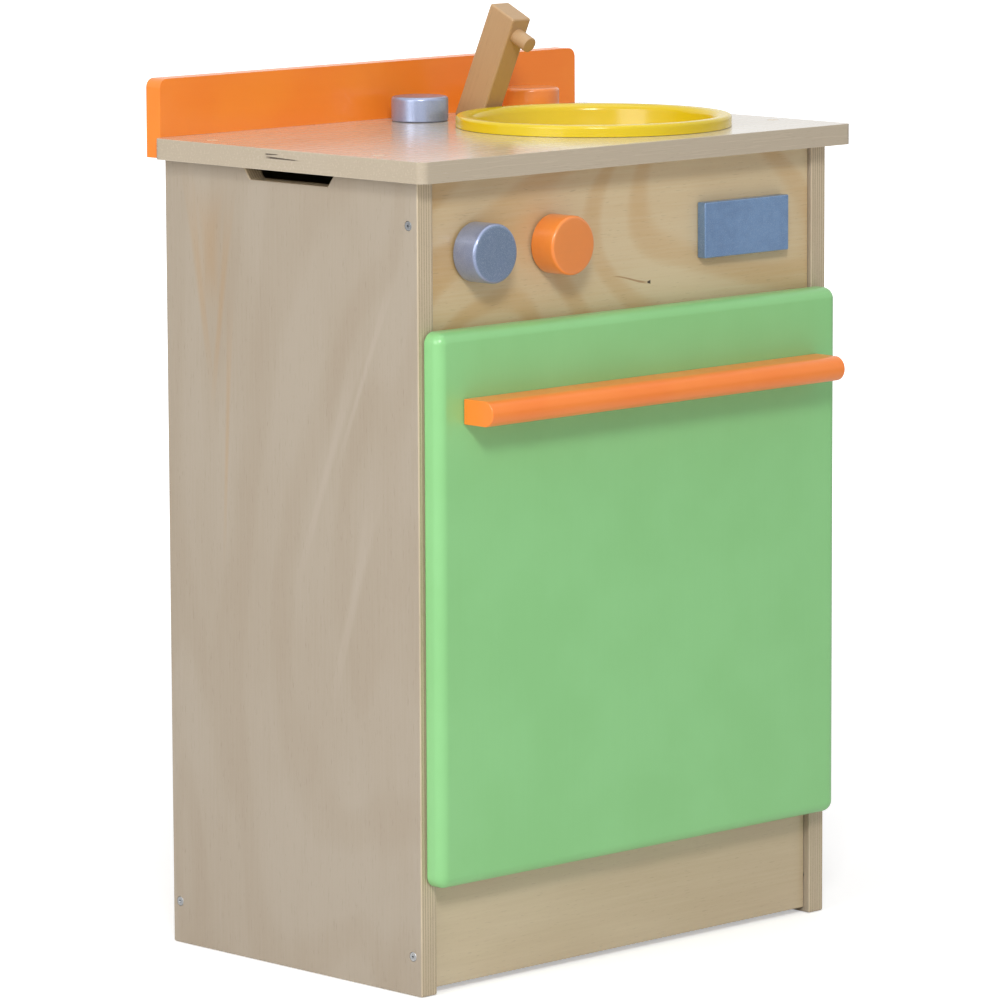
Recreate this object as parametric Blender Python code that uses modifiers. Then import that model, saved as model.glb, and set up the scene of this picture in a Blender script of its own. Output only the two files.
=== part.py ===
"""Toy sink: a play sink of birch plywood with a drop-down door, dials, taps and a loose bowl.

Metres, +Z up. The sink stands on z = 0 with its door towards -Y, and the origin is under the
middle of its bounding box. Depths are measured backwards from the front edges of the side panels.
"""

import math
from dataclasses import dataclass

import bmesh
import bpy
from mathutils import Matrix, Vector

# Driving dimensions
BOARD = 0.018
GAP = 0.0003
ARRIS = 0.0015

CARCASS_WIDTH = 0.490
CARCASS_DEPTH = 0.314
SIDE_HEIGHT = 0.682
INSIDE = CARCASS_WIDTH / 2 - BOARD

NOTCH_DEPTH = 0.157
NOTCH_TOP_WIDTH = 0.112
NOTCH_FLOOR_WIDTH = 0.096
NOTCH_DROP = 0.0107

WORKTOP_WIDTH = 0.516
WORKTOP_OVERHANG = 0.020
WORKTOP_CORNER = 0.008
WORKTOP_EDGE = 0.004
CLEAR_AREA_EDGE_X = -0.060
WORKTOP_UNDERSIDE = SIDE_HEIGHT + GAP
WORKTOP_TOP = WORKTOP_UNDERSIDE + BOARD

UPSTAND_WIDTH = 0.498
UPSTAND_TOP = 0.750
UPSTAND_CORNER = 0.008
UPSTAND_EDGE = 0.0035

FASCIA_SETBACK = 0.004
FASCIA_BOTTOM = 0.545
PLINTH_SETBACK = 0.0065
PLINTH_BOTTOM = 0.0045
PLINTH_TOP = 0.096
FLOOR_BOTTOM = PLINTH_TOP + GAP
FLOOR_TOP = FLOOR_BOTTOM + BOARD

BACK_PANEL = 0.005
BACK_INSET = 0.0002
REBATE_WIDTH = 0.009
REBATE_FRONT = CARCASS_DEPTH - BACK_INSET - BACK_PANEL - GAP

DOOR_WIDTH = 0.480
DOOR_BOTTOM = 0.093
DOOR_TOP = 0.5585
DOOR_CLEARANCE = 0.0015
DOOR_CORNER = 0.010
DOOR_ROUND_OVER = 0.0095
DOOR_ARRIS_SHARE = 0.1

HANDLE_LENGTH = 0.425
HANDLE_DEPTH = 0.0347
HANDLE_HEIGHT = 0.0215
HANDLE_BOTTOM = 0.481
HANDLE_NOSE = 0.0106

SINK_X = 0.087
BOWL_DEPTH = 0.128
BOWL_HOLE = 0.1125
RIM_RADIUS = 0.120
RIM_HEIGHT = 0.0099
RIM_INNER_ROUND = 0.0065
RIM_OUTER_ROUND = 0.003
BOWL_WALL = 0.0025
BOWL_FLOOR_RADIUS = 0.062
BOWL_MOUTH_RADIUS = 0.1058
BOWL_CURVE_RADIUS = 0.093
BOWL_FLOOR_Z = 0.6145

KNOB_RADIUS = 0.025
KNOB_ROUND = 0.003
DIAL_THICKNESS = 0.0262
DIAL_STANDOFF = 0.0018
DIAL_Z = 0.620
DIAL_LEFT_X = -0.178
DIAL_RIGHT_X = -0.088
TAP_THICKNESS = 0.0215
TAP_DEPTH = 0.2755
TAP_SPREAD = 0.0683

DISPLAY_X = 0.140
DISPLAY_WIDTH = 0.104
DISPLAY_HEIGHT = 0.048
DISPLAY_THICKNESS = 0.0097
DISPLAY_Z = 0.618

SPINDLE_RADIUS = 0.004
SPINDLE_IN_KNOB = 0.012
WASHER_RADIUS = 0.009
WASHER_THICKNESS = 0.0012
NUT_FLATS = 0.013
NUT_HEIGHT = 0.0065
SPINDLE_END = 0.004

FAUCET_LEAN = math.radians(25)
FAUCET_WIDTH = 0.022
FAUCET_THICKNESS = 0.032
FAUCET_LENGTH = 0.0977
FAUCET_EDGE = 0.0018
FAUCET_FOOT_FRONT = 0.2577
FAUCET_FOOT_Z = WORKTOP_TOP + GAP
SPOUT_RADIUS = 0.007
SPOUT_REACH = 0.0185
SPOUT_SOCKET = 0.008
SPOUT_BELOW_TOP = 0.017

HINGE_X = 0.170
HINGE_WIDTH = 0.050
HINGE_LEAF = 0.0012
HINGE_LEAF_HEIGHT = 0.016
HINGE_KNUCKLE = 0.0026
HINGE_BORE = 0.0014
HINGE_PIN = 0.0011
HINGE_PIN_HEAD = 0.002
HINGE_PIN_HEAD_LENGTH = 0.0008
HINGE_MIDDLE_HALF = 0.0088
HINGE_LEAF_SHIFT = 0.0002
HINGE_AXIS_DEPTH = -DOOR_CLEARANCE / 2
HINGE_AXIS_Z = DOOR_BOTTOM + 0.0002

CATCH_LENGTH = 0.046
CATCH_DEPTH = 0.016
CATCH_HEIGHT = 0.0147
CATCH_SETBACK = 0.0006
POLE_LENGTH = 0.025
POLE_THICKNESS = 0.0015
POLE_DEPTH = 0.0117
MAGNET_HEIGHT = 0.0045
STRIKE_LENGTH = 0.040
STRIKE_HEIGHT = 0.014
STRIKE_THICKNESS = 0.0015
STRIKE_RECESS = 0.0006

PLUG_RADIUS = 0.005
PLUG_DEPTH = 0.006
PLUG_ROWS = (("front", 0.055), ("rear", 0.262))
FASCIA_SCREW_DEPTH = 0.011
FASCIA_SCREW_Z = 0.6455
PLINTH_SCREW_DEPTH = 0.0105
PLINTH_SCREW_Z = 0.0335
RAIL_SCREW_Z = 0.0365
UPSTAND_SCREW_X = 0.170
HANDLE_SCREW_X = 0.150

# The bounding box runs from the nose of the handle to the back of the upstand.
NOSE_DEPTH = -(DOOR_CLEARANCE + BOARD + GAP + HANDLE_DEPTH)
BACK_DEPTH = CARCASS_DEPTH + GAP + BOARD
FRONT_Y = -(NOSE_DEPTH + BACK_DEPTH) / 2

# Facets of round work
FINE_STEPS = 40
KNOB_STEPS = 32
ROD_STEPS = 16
SCREW_STEPS = 10
ARC_STEPS = 4
SMOOTH_BELOW = math.radians(35)
HOLE_RISE = 0.0005
CURVE_STEPS = 7

LEFT, RIGHT = -1, 1
SIDES = (("left", LEFT), ("right", RIGHT))
ALONG_X = (math.radians(90), 0.0, math.radians(90))
ALONG_Y = (math.radians(90), 0.0, 0.0)
UPRIGHT = (0.0, 0.0, 0.0)


@dataclass(frozen=True)
class ScrewSize:
    """A countersunk screw: its head's radius and height, its shank's radius and its length."""

    head: float
    head_height: float
    shank: float
    length: float


CARCASS_SCREW = ScrewSize(head=0.004, head_height=0.0024, shank=0.0018, length=0.045)
BOARD_SCREW = ScrewSize(head=0.004, head_height=0.0024, shank=0.0018, length=0.040)
HANDLE_SCREW = ScrewSize(head=0.0038, head_height=0.0022, shank=0.0017, length=0.038)


def start_collections():
    """Clears the scene and makes the collections of the parts and of the cutters."""
    for obj in list(bpy.data.objects):
        bpy.data.objects.remove(obj, do_unlink=True)
    parts = bpy.data.collections.new("toy_sink")
    cutters = bpy.data.collections.new("toy_sink_cutters")
    for collection in (parts, cutters):
        bpy.context.scene.collection.children.link(collection)
    cutters.hide_render = True
    return parts, cutters


PARTS, CUTTERS = start_collections()


def at(x, depth, z):
    """A place from the middle of the sink, its front edges and the floor."""
    return Vector((x, FRONT_Y + depth, z))


def make_material(name, colour, roughness, metallic=0.0):
    material = bpy.data.materials.new(name)
    material.use_nodes = True
    shader = material.node_tree.nodes["Principled BSDF"]
    shader.inputs["Base Color"].default_value = (*colour, 1.0)
    shader.inputs["Roughness"].default_value = roughness
    shader.inputs["Metallic"].default_value = metallic
    return material


BIRCH = make_material("lacquered_birch_ply", (0.60, 0.42, 0.22), 0.38)
BIRCH_PLUG = make_material("birch_plug", (0.72, 0.58, 0.38), 0.4)
BEECH = make_material("oiled_beech", (0.52, 0.30, 0.15), 0.5)
GREEN = make_material("green_lacquer", (0.24, 0.56, 0.22), 0.32)
ORANGE = make_material("orange_lacquer", (0.91, 0.22, 0.03), 0.32)
GREY_BLUE = make_material("grey_blue_lacquer", (0.17, 0.26, 0.43), 0.35, 0.4)
YELLOW = make_material("yellow_plastic", (0.83, 0.66, 0.03), 0.3)
ZINC = make_material("zinc_steel", (0.62, 0.62, 0.60), 0.35, 1.0)
BRIGHT_STEEL = make_material("bright_steel", (0.70, 0.70, 0.70), 0.25, 1.0)
BRASS = make_material("brassed_steel", (0.70, 0.55, 0.28), 0.35, 1.0)
WHITE_PLASTIC = make_material("white_plastic", (0.80, 0.80, 0.78), 0.45)
FERRITE = make_material("ferrite", (0.05, 0.05, 0.05), 0.6)


def make_body(name, place):
    """An empty that carries a body's pieces, on the axis that the body moves about."""
    empty = bpy.data.objects.new(name, None)
    empty.location = place
    empty.empty_display_size = 0.03
    PARTS.objects.link(empty)
    return empty


def add_piece(name, mesh, body, material, place=(0.0, 0.0, 0.0), rotation=UPRIGHT):
    """A named piece on its body, placed in the world as if it had no parent."""
    mesh.name = name
    mesh.materials.clear()
    mesh.materials.append(material)
    mesh.shade_smooth()
    mesh.set_sharp_from_angle(angle=SMOOTH_BELOW)
    piece = bpy.data.objects.new(name, mesh)
    piece.location = place
    piece.rotation_euler = rotation
    PARTS.objects.link(piece)
    piece.parent = body
    piece.matrix_parent_inverse = Matrix.Translation(-body.location)
    return piece


def add_cutter(name, mesh, place=(0.0, 0.0, 0.0), rotation=UPRIGHT):
    cutter = bpy.data.objects.new(name, mesh)
    cutter.location = place
    cutter.rotation_euler = rotation
    cutter.hide_render = True
    cutter.display_type = "WIRE"
    CUTTERS.objects.link(cutter)
    return cutter


def cut(cutter, *pieces):
    for piece in pieces:
        boolean = piece.modifiers.new("cut " + cutter.name, "BOOLEAN")
        boolean.operation = "DIFFERENCE"
        boolean.solver = "EXACT"
        boolean.object = cutter


def round_edges(piece, width, segments=2, by_weight=False):
    bevel = piece.modifiers.new("rounded edges", "BEVEL")
    bevel.width = width
    bevel.segments = segments
    bevel.limit_method = "WEIGHT" if by_weight else "ANGLE"
    bevel.angle_limit = SMOOTH_BELOW
    bevel.use_clamp_overlap = True


def box_mesh(size):
    mesh = bpy.data.meshes.new("box")
    shape = bmesh.new()
    bmesh.ops.create_cube(shape, size=1.0)
    bmesh.ops.scale(shape, vec=size, verts=shape.verts)
    shape.to_mesh(mesh)
    shape.free()
    return mesh


def box_between(low, high):
    """A box mesh and its centre, from two opposite corners."""
    low, high = Vector(low), Vector(high)
    return box_mesh(high - low), (low + high) / 2


def add_board(name, low, high, body, material, arris=ARRIS, segments=1):
    mesh, centre = box_between(low, high)
    board = add_piece(name, mesh, body, material, centre)
    if arris:
        round_edges(board, arris, segments)
    return board


def box_cutter(name, low, high):
    mesh, centre = box_between(low, high)
    return add_cutter(name, mesh, centre)


def evaluated_mesh(holder):
    """The welded mesh of a curve or of a mesh with modifiers, which is then removed."""
    bpy.context.scene.collection.objects.link(holder)
    graph = bpy.context.evaluated_depsgraph_get()
    mesh = bpy.data.meshes.new_from_object(holder.evaluated_get(graph))
    bpy.data.objects.remove(holder, do_unlink=True)
    shape = bmesh.new()
    shape.from_mesh(mesh)
    bmesh.ops.remove_doubles(shape, verts=shape.verts, dist=1e-6)
    bmesh.ops.dissolve_limit(
        shape, angle_limit=math.radians(0.5), verts=shape.verts, edges=shape.edges
    )
    bmesh.ops.recalc_face_normals(shape, faces=shape.faces)
    shape.to_mesh(mesh)
    shape.free()
    return mesh


def rounded_outline(corners):
    """The points of an outline whose corners (x, y, radius) are rounded with arcs."""
    points = []
    for index, (x, y, radius) in enumerate(corners):
        corner = Vector((x, y))
        if not radius:
            points.append(corner)
            continue
        before = (Vector(corners[index - 1][:2]) - corner).normalized()
        after = (Vector(corners[(index + 1) % len(corners)][:2]) - corner).normalized()
        half_angle = before.angle(after) / 2
        centre = corner + (before + after).normalized() * radius / math.sin(half_angle)
        start = corner + before * radius / math.tan(half_angle) - centre
        turn = start.angle_signed(corner + after * radius / math.tan(half_angle) - centre)
        for step in range(ARC_STEPS + 1):
            swing = Matrix.Rotation(-turn * step / ARC_STEPS, 2)
            points.append(centre + swing @ start)
    return points


def circle_outline(radius, steps):
    turns = [math.tau * step / steps for step in range(steps)]
    return [Vector((radius * math.cos(a), radius * math.sin(a))) for a in turns]


def plate_mesh(outlines, thickness):
    """A flat plate from its outer outline and any holes, centred on its own plane."""
    curve = bpy.data.curves.new("outline", "CURVE")
    curve.dimensions = "2D"
    curve.fill_mode = "BOTH"
    curve.extrude = thickness / 2
    for outline in outlines:
        spline = curve.splines.new("POLY")
        spline.points.add(len(outline) - 1)
        for point, place in zip(spline.points, outline):
            point.co = (place.x, place.y, 0.0, 1.0)
        spline.use_cyclic_u = True
    return evaluated_mesh(bpy.data.objects.new("outline", curve))


def split_across(mesh, x):
    """Corners on a plate's outline where its clear area ends and its cut-outs begin."""
    shape = bmesh.new()
    shape.from_mesh(mesh)
    everything = shape.verts[:] + shape.edges[:] + shape.faces[:]
    bmesh.ops.bisect_plane(
        shape, geom=everything, plane_co=(x, 0.0, 0.0), plane_no=(1.0, 0.0, 0.0)
    )
    shape.to_mesh(mesh)
    shape.free()


def profile_mesh(profile, closed=False):
    """The half section of a turned shape, as (radius, height) points down its outer side."""
    mesh = bpy.data.meshes.new("profile")
    edges = [(index, index + 1) for index in range(len(profile) - 1)]
    if closed:
        edges.append((len(profile) - 1, 0))
    mesh.from_pydata([(radius, 0.0, height) for radius, height in profile], edges, [])
    return mesh


def turn_about_z(piece, steps):
    screw = piece.modifiers.new("turned", "SCREW")
    screw.axis = "Z"
    screw.angle = math.tau
    screw.steps = steps
    screw.render_steps = steps
    screw.use_merge_vertices = True
    screw.merge_threshold = 0.00001
    return screw


def turned_mesh(profile, steps, closed=False):
    holder = bpy.data.objects.new("turned", profile_mesh(profile, closed))
    turn_about_z(holder, steps)
    return evaluated_mesh(holder)


def add_turned(name, profile, steps, body, material, place, rotation=UPRIGHT, closed=False):
    mesh = turned_mesh(profile, steps, closed)
    return add_piece(name, mesh, body, material, place, rotation)


def copies_mesh(mesh, places, direction):
    """One mesh of copies at these places, with their -Z along the direction."""
    group = bpy.data.meshes.new("copies")
    shape = bmesh.new()
    aim = Vector(direction).to_track_quat("-Z", "Y").to_matrix().to_4x4()
    for place in places:
        first = len(shape.verts)
        shape.from_mesh(mesh)
        shape.verts.ensure_lookup_table()
        bmesh.ops.transform(
            shape, matrix=Matrix.Translation(place) @ aim, verts=shape.verts[first:]
        )
    shape.to_mesh(group)
    shape.free()
    return group


def screw_profile(size):
    head = [(0.0, 0.0), (size.head, 0.0), (size.shank, -size.head_height)]
    return head + [(size.shank, size.shank - size.length), (0.0, -size.length)]


def screw_hole_profile(size):
    mouth = size.head + GAP
    bore = size.shank + GAP
    bottom = -size.length - GAP
    cone = [(0.0, HOLE_RISE), (mouth, HOLE_RISE), (mouth, 0.0), (bore, -size.head_height - GAP)]
    return cone + [(bore, bottom), (0.0, bottom)]


def add_copies(name, mesh, places, direction, body, material):
    """One piece for each named place, all of one mesh whose -Z points along the direction."""
    rotation = Vector(direction).to_track_quat("-Z", "Y").to_euler()
    for label, place in places.items():
        add_piece(f"{name}_{label}", mesh, body, material, place, rotation)


def add_screws(name, size, places, direction, body, material, *pieces):
    """Like screws that all point one way, and their holes in the pieces that they join."""
    screw = turned_mesh(screw_profile(size), SCREW_STEPS)
    add_copies(name, screw, places, direction, body, material)
    hole = turned_mesh(screw_hole_profile(size), SCREW_STEPS)
    holes = copies_mesh(hole, places.values(), direction)
    cut(add_cutter(name + "_holes", holes), *pieces)


def rod_mesh(radius, length, steps, chamfer=0.0):
    """A rod from z = 0 up to its length, with both ends chamfered alike."""
    profile = [(0.0, length), (radius - chamfer, length)]
    if chamfer:
        profile.append((radius, length - chamfer))
        profile.append((radius, chamfer))
    profile += [(radius - chamfer, 0.0), (0.0, 0.0)]
    return turned_mesh(profile, steps)


# Carcass


def add_side_panel(name, side, body):
    """A side panel with a hand grip cut into its top edge and a rebate for the back panel."""
    top_half = NOTCH_TOP_WIDTH / 2
    floor_half = NOTCH_FLOOR_WIDTH / 2
    notch_floor = SIDE_HEIGHT - NOTCH_DROP
    outline = [
        Vector((0.0, 0.0)),
        Vector((CARCASS_DEPTH, 0.0)),
        Vector((CARCASS_DEPTH, SIDE_HEIGHT)),
        Vector((NOTCH_DEPTH + top_half, SIDE_HEIGHT)),
        Vector((NOTCH_DEPTH + floor_half, notch_floor)),
        Vector((NOTCH_DEPTH - floor_half, notch_floor)),
        Vector((NOTCH_DEPTH - top_half, SIDE_HEIGHT)),
        Vector((0.0, SIDE_HEIGHT)),
    ]
    mesh = plate_mesh([outline], BOARD)
    middle = side * (CARCASS_WIDTH - BOARD) / 2
    panel = add_piece(name, mesh, body, BIRCH, at(middle, 0.0, 0.0), ALONG_X)
    round_edges(panel, ARRIS)
    panel.modifiers.new("flat facets", "TRIANGULATE")
    inner = side * (INSIDE - 0.001)
    outer = side * (INSIDE + REBATE_WIDTH)
    low = at(min(inner, outer), REBATE_FRONT, FLOOR_BOTTOM)
    high = at(max(inner, outer), CARCASS_DEPTH + 0.001, SIDE_HEIGHT + 0.001)
    cut(box_cutter(name + "_rebate", low, high), panel)
    return panel


def add_cross_board(name, depth, bottom, top, body):
    """A board that stands on edge between the two sides."""
    half = INSIDE - GAP
    low = at(-half, depth, bottom)
    high = at(half, depth + BOARD, top)
    return add_board(name, low, high, body, BIRCH, arris=0.001)


def add_cabinet_floor(body):
    half = INSIDE - GAP
    low = at(-half, 0.0, FLOOR_BOTTOM)
    high = at(half, REBATE_FRONT - GAP, FLOOR_TOP)
    return add_board("cabinet_floor", low, high, body, BIRCH, arris=0.001)


def add_back_panel(body):
    half = INSIDE + REBATE_WIDTH - 2 * GAP
    back = CARCASS_DEPTH - BACK_INSET
    low = at(-half, back - BACK_PANEL, FLOOR_BOTTOM + GAP)
    high = at(half, back, SIDE_HEIGHT - 2 * GAP)
    add_board("back_panel", low, high, body, BIRCH, arris=0.0)


def add_worktop(body):
    """The worktop: round corners and edges, with the bowl's round cut-out."""
    half = WORKTOP_WIDTH / 2
    corner = WORKTOP_CORNER
    outline = rounded_outline(
        [
            (-half, -WORKTOP_OVERHANG, corner),
            (half, -WORKTOP_OVERHANG, corner),
            (half, CARCASS_DEPTH, corner),
            (-half, CARCASS_DEPTH, corner),
        ]
    )
    mesh = plate_mesh([outline], BOARD)
    split_across(mesh, CLEAR_AREA_EDGE_X)
    middle = WORKTOP_UNDERSIDE + BOARD / 2
    worktop = add_piece("worktop", mesh, body, BIRCH, at(0.0, 0.0, middle))
    round_edges(worktop, WORKTOP_EDGE, segments=3)
    drill = rod_mesh(BOWL_HOLE, 2 * BOARD, FINE_STEPS)
    place = at(SINK_X, BOWL_DEPTH, WORKTOP_UNDERSIDE - BOARD / 2)
    cut(add_cutter("bowl_hole", drill, place), worktop)
    return worktop


def add_upstand(body):
    half = UPSTAND_WIDTH / 2
    outline = rounded_outline(
        [
            (-half, WORKTOP_UNDERSIDE, 0.0),
            (half, WORKTOP_UNDERSIDE, 0.0),
            (half, UPSTAND_TOP, UPSTAND_CORNER),
            (-half, UPSTAND_TOP, UPSTAND_CORNER),
        ]
    )
    middle = CARCASS_DEPTH + GAP + BOARD / 2
    mesh = plate_mesh([outline], BOARD)
    upstand = add_piece("upstand", mesh, body, ORANGE, at(0.0, middle, 0.0), ALONG_Y)
    round_edges(upstand, UPSTAND_EDGE, segments=2)
    return upstand


def add_worktop_fixings(body, worktop, sides):
    """Screws down into the side panels, each under a plug that ends flush with the worktop."""
    middle = (CARCASS_WIDTH - BOARD) / 2
    seat = WORKTOP_TOP - PLUG_DEPTH - GAP
    down = (0.0, 0.0, -1.0)
    seats = {}
    for side_name, side in SIDES:
        for row_name, depth in PLUG_ROWS:
            seats[f"{side_name}_{row_name}"] = at(side * middle, depth, seat)
    add_screws("worktop_screw", BOARD_SCREW, seats, down, body, ZINC, worktop, *sides)
    plug = rod_mesh(PLUG_RADIUS, PLUG_DEPTH, ROD_STEPS)
    plug_places = {label: place + Vector((0.0, 0.0, GAP)) for label, place in seats.items()}
    add_copies("worktop_plug", plug, plug_places, down, body, BIRCH_PLUG)
    bore = rod_mesh(PLUG_RADIUS + GAP, PLUG_DEPTH + 2 * HOLE_RISE, ROD_STEPS)
    bores = copies_mesh(bore, seats.values(), down)
    cut(add_cutter("plug_bores", bores), worktop)


def add_carcass(body):
    left = add_side_panel("side_panel_left", LEFT, body)
    right = add_side_panel("side_panel_right", RIGHT, body)
    fascia_top = SIDE_HEIGHT - GAP
    fascia = add_cross_board("fascia", FASCIA_SETBACK, FASCIA_BOTTOM, fascia_top, body)
    plinth = add_cross_board("plinth", PLINTH_SETBACK, PLINTH_BOTTOM, PLINTH_TOP, body)
    rail_depth = CARCASS_DEPTH - BOARD
    rail = add_cross_board("rear_rail", rail_depth, PLINTH_BOTTOM, PLINTH_TOP, body)
    floor = add_cabinet_floor(body)
    add_back_panel(body)
    worktop = add_worktop(body)
    upstand = add_upstand(body)

    add_worktop_fixings(body, worktop, (left, right))

    face = CARCASS_WIDTH / 2
    half_board = BOARD / 2
    spots = (
        ("fascia", FASCIA_SCREW_DEPTH, FASCIA_SCREW_Z),
        ("plinth", PLINTH_SCREW_DEPTH, PLINTH_SCREW_Z),
        ("rail", rail_depth + half_board, RAIL_SCREW_Z),
    )
    joined = (fascia, plinth, rail)
    for (side_name, side), panel in zip(SIDES, (left, right)):
        places = {label: at(side * face, depth, z) for label, depth, z in spots}
        inwards = (-side, 0.0, 0.0)
        name = "side_screw_" + side_name
        add_screws(name, CARCASS_SCREW, places, inwards, body, ZINC, panel, *joined)

    edge_middle = WORKTOP_UNDERSIDE + half_board
    places = {label: at(s * UPSTAND_SCREW_X, BACK_DEPTH, edge_middle) for label, s in SIDES}
    forwards = (0.0, -1.0, 0.0)
    add_screws("upstand_screw", CARCASS_SCREW, places, forwards, body, ZINC, upstand, worktop)
    return fascia, floor, worktop


# Knobs: each is pressed on a threaded spindle that a washer and a lock nut hold


def knob_profile(thickness):
    """A round knob seen from its side, with a blind bore for the spindle in its underside."""
    turns = [math.radians(90) * step / 3 for step in range(4)]
    rim = KNOB_RADIUS - KNOB_ROUND
    profile = [(0.0, thickness)]
    for angle in turns:
        height = thickness - KNOB_ROUND + KNOB_ROUND * math.cos(angle)
        profile.append((rim + KNOB_ROUND * math.sin(angle), height))
    profile.append((KNOB_RADIUS, KNOB_ROUND / 2))
    profile.append((KNOB_RADIUS - KNOB_ROUND / 2, 0.0))
    bore = SPINDLE_RADIUS + GAP
    profile += [(bore, 0.0), (bore, SPINDLE_IN_KNOB + GAP), (0.0, SPINDLE_IN_KNOB + GAP)]
    return profile


def hexagon_nut_mesh():
    corner_radius = NUT_FLATS / math.sqrt(3)
    outlines = [
        circle_outline(corner_radius, 6),
        circle_outline(SPINDLE_RADIUS + GAP, ROD_STEPS),
    ]
    return plate_mesh(outlines, NUT_HEIGHT)


def washer_mesh():
    bore = SPINDLE_RADIUS + GAP
    thick = WASHER_THICKNESS
    profile = [(WASHER_RADIUS, thick), (WASHER_RADIUS, 0.0), (bore, 0.0), (bore, thick)]
    return turned_mesh(profile, ROD_STEPS, closed=True)


def add_knob(name, body, place, rotation, thickness, standoff, material):
    """A knob whose underside is at the place, with its spindle and its nut behind the board."""
    knob = turned_mesh(knob_profile(thickness), KNOB_STEPS)
    add_piece(name, knob, body, material, place, rotation)
    nut_middle = -standoff - BOARD - WASHER_THICKNESS - 2 * GAP - NUT_HEIGHT / 2
    foot = nut_middle - NUT_HEIGHT / 2 - SPINDLE_END
    spindle = rod_mesh(SPINDLE_RADIUS, SPINDLE_IN_KNOB - foot, ROD_STEPS, chamfer=0.0007)
    spindle.transform(Matrix.Translation((0.0, 0.0, foot)))
    add_piece(name + "_spindle", spindle, body, ZINC, place, rotation)
    nut = hexagon_nut_mesh()
    nut.transform(Matrix.Translation((0.0, 0.0, nut_middle)))
    add_piece(name + "_nut", nut, body, ZINC, place, rotation)


def add_spindle_holes(name, places, direction, board):
    drill = rod_mesh(SPINDLE_RADIUS + GAP, 2 * BOARD, ROD_STEPS)
    cut(add_cutter(name, copies_mesh(drill, places, direction)), board)


def add_dials(body, fascia):
    """Two dials that stand a little off the fascia, each with a washer behind the board."""
    washers = {}
    holes = []
    dials = (("left", DIAL_LEFT_X, GREY_BLUE), ("right", DIAL_RIGHT_X, ORANGE))
    for label, x, material in dials:
        place = at(x, FASCIA_SETBACK - DIAL_STANDOFF, DIAL_Z)
        knob_body = make_body(f"dial_{label}_axis", place)
        name = "dial_" + label
        add_knob(name, knob_body, place, ALONG_Y, DIAL_THICKNESS, DIAL_STANDOFF, material)
        washers[label] = at(x, FASCIA_SETBACK + BOARD + GAP, DIAL_Z)
        holes.append(at(x, FASCIA_SETBACK - BOARD / 2, DIAL_Z))
    forwards = (0.0, -1.0, 0.0)
    add_copies("dial_washer", washer_mesh(), washers, forwards, body, ZINC)
    add_spindle_holes("dial_holes", holes, forwards, fascia)


def add_taps(body, worktop):
    """Two tap knobs on the worktop, each with a washer under it."""
    washers = {}
    holes = []
    for (label, side), material in zip(SIDES, (GREY_BLUE, ORANGE)):
        x = SINK_X + side * TAP_SPREAD
        place = at(x, TAP_DEPTH, WORKTOP_TOP + GAP)
        knob_body = make_body(f"tap_{label}_axis", place)
        add_knob("tap_" + label, knob_body, place, UPRIGHT, TAP_THICKNESS, GAP, material)
        washers[label] = at(x, TAP_DEPTH, WORKTOP_UNDERSIDE - GAP)
        holes.append(at(x, TAP_DEPTH, WORKTOP_TOP + BOARD / 2))
    up = (0.0, 0.0, 1.0)
    add_copies("tap_washer", washer_mesh(), washers, up, body, ZINC)
    add_spindle_holes("tap_holes", holes, up, worktop)


def add_display(body):
    """The plain display block on the front of the fascia."""
    half = DISPLAY_WIDTH / 2
    back = FASCIA_SETBACK - GAP
    low = at(DISPLAY_X - half, back - DISPLAY_THICKNESS, DISPLAY_Z - DISPLAY_HEIGHT / 2)
    high = at(DISPLAY_X + half, back, DISPLAY_Z + DISPLAY_HEIGHT / 2)
    add_board("display_block", low, high, body, GREY_BLUE, arris=0.002, segments=2)


# Faucet and bowl


def add_faucet(body):
    """A square-cut block that leans forward over the bowl, with a dowel for a spout."""
    lean = Vector((-math.sin(FAUCET_LEAN), math.cos(FAUCET_LEAN)))
    across = Vector((math.cos(FAUCET_LEAN), math.sin(FAUCET_LEAN)))
    foot_front = Vector((FAUCET_FOOT_FRONT, FAUCET_FOOT_Z))
    foot_width = FAUCET_THICKNESS / math.cos(FAUCET_LEAN)
    top_front = foot_front + lean * FAUCET_LENGTH
    top_back = top_front + across * FAUCET_THICKNESS
    outline = [foot_front, foot_front + Vector((foot_width, 0.0)), top_back, top_front]
    mesh = plate_mesh([outline], FAUCET_WIDTH)
    post = add_piece("faucet_post", mesh, body, BEECH, at(SINK_X, 0.0, 0.0), ALONG_X)
    round_edges(post, FAUCET_EDGE)

    face = top_front - lean * SPOUT_BELOW_TOP
    root = face + across * SPOUT_SOCKET
    tilt = (math.radians(90) + FAUCET_LEAN, 0.0, 0.0)
    place = at(SINK_X, root.x, root.y)
    dowel = rod_mesh(SPOUT_RADIUS, SPOUT_SOCKET + SPOUT_REACH, 2 * ROD_STEPS, chamfer=0.0006)
    add_piece("faucet_spout", dowel, body, BEECH, place, tilt)
    socket = rod_mesh(SPOUT_RADIUS + GAP, SPOUT_SOCKET + SPOUT_REACH, 2 * ROD_STEPS)
    start = root + across * GAP
    cut(add_cutter("spout_socket", socket, at(SINK_X, start.x, start.y), tilt), post)


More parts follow.
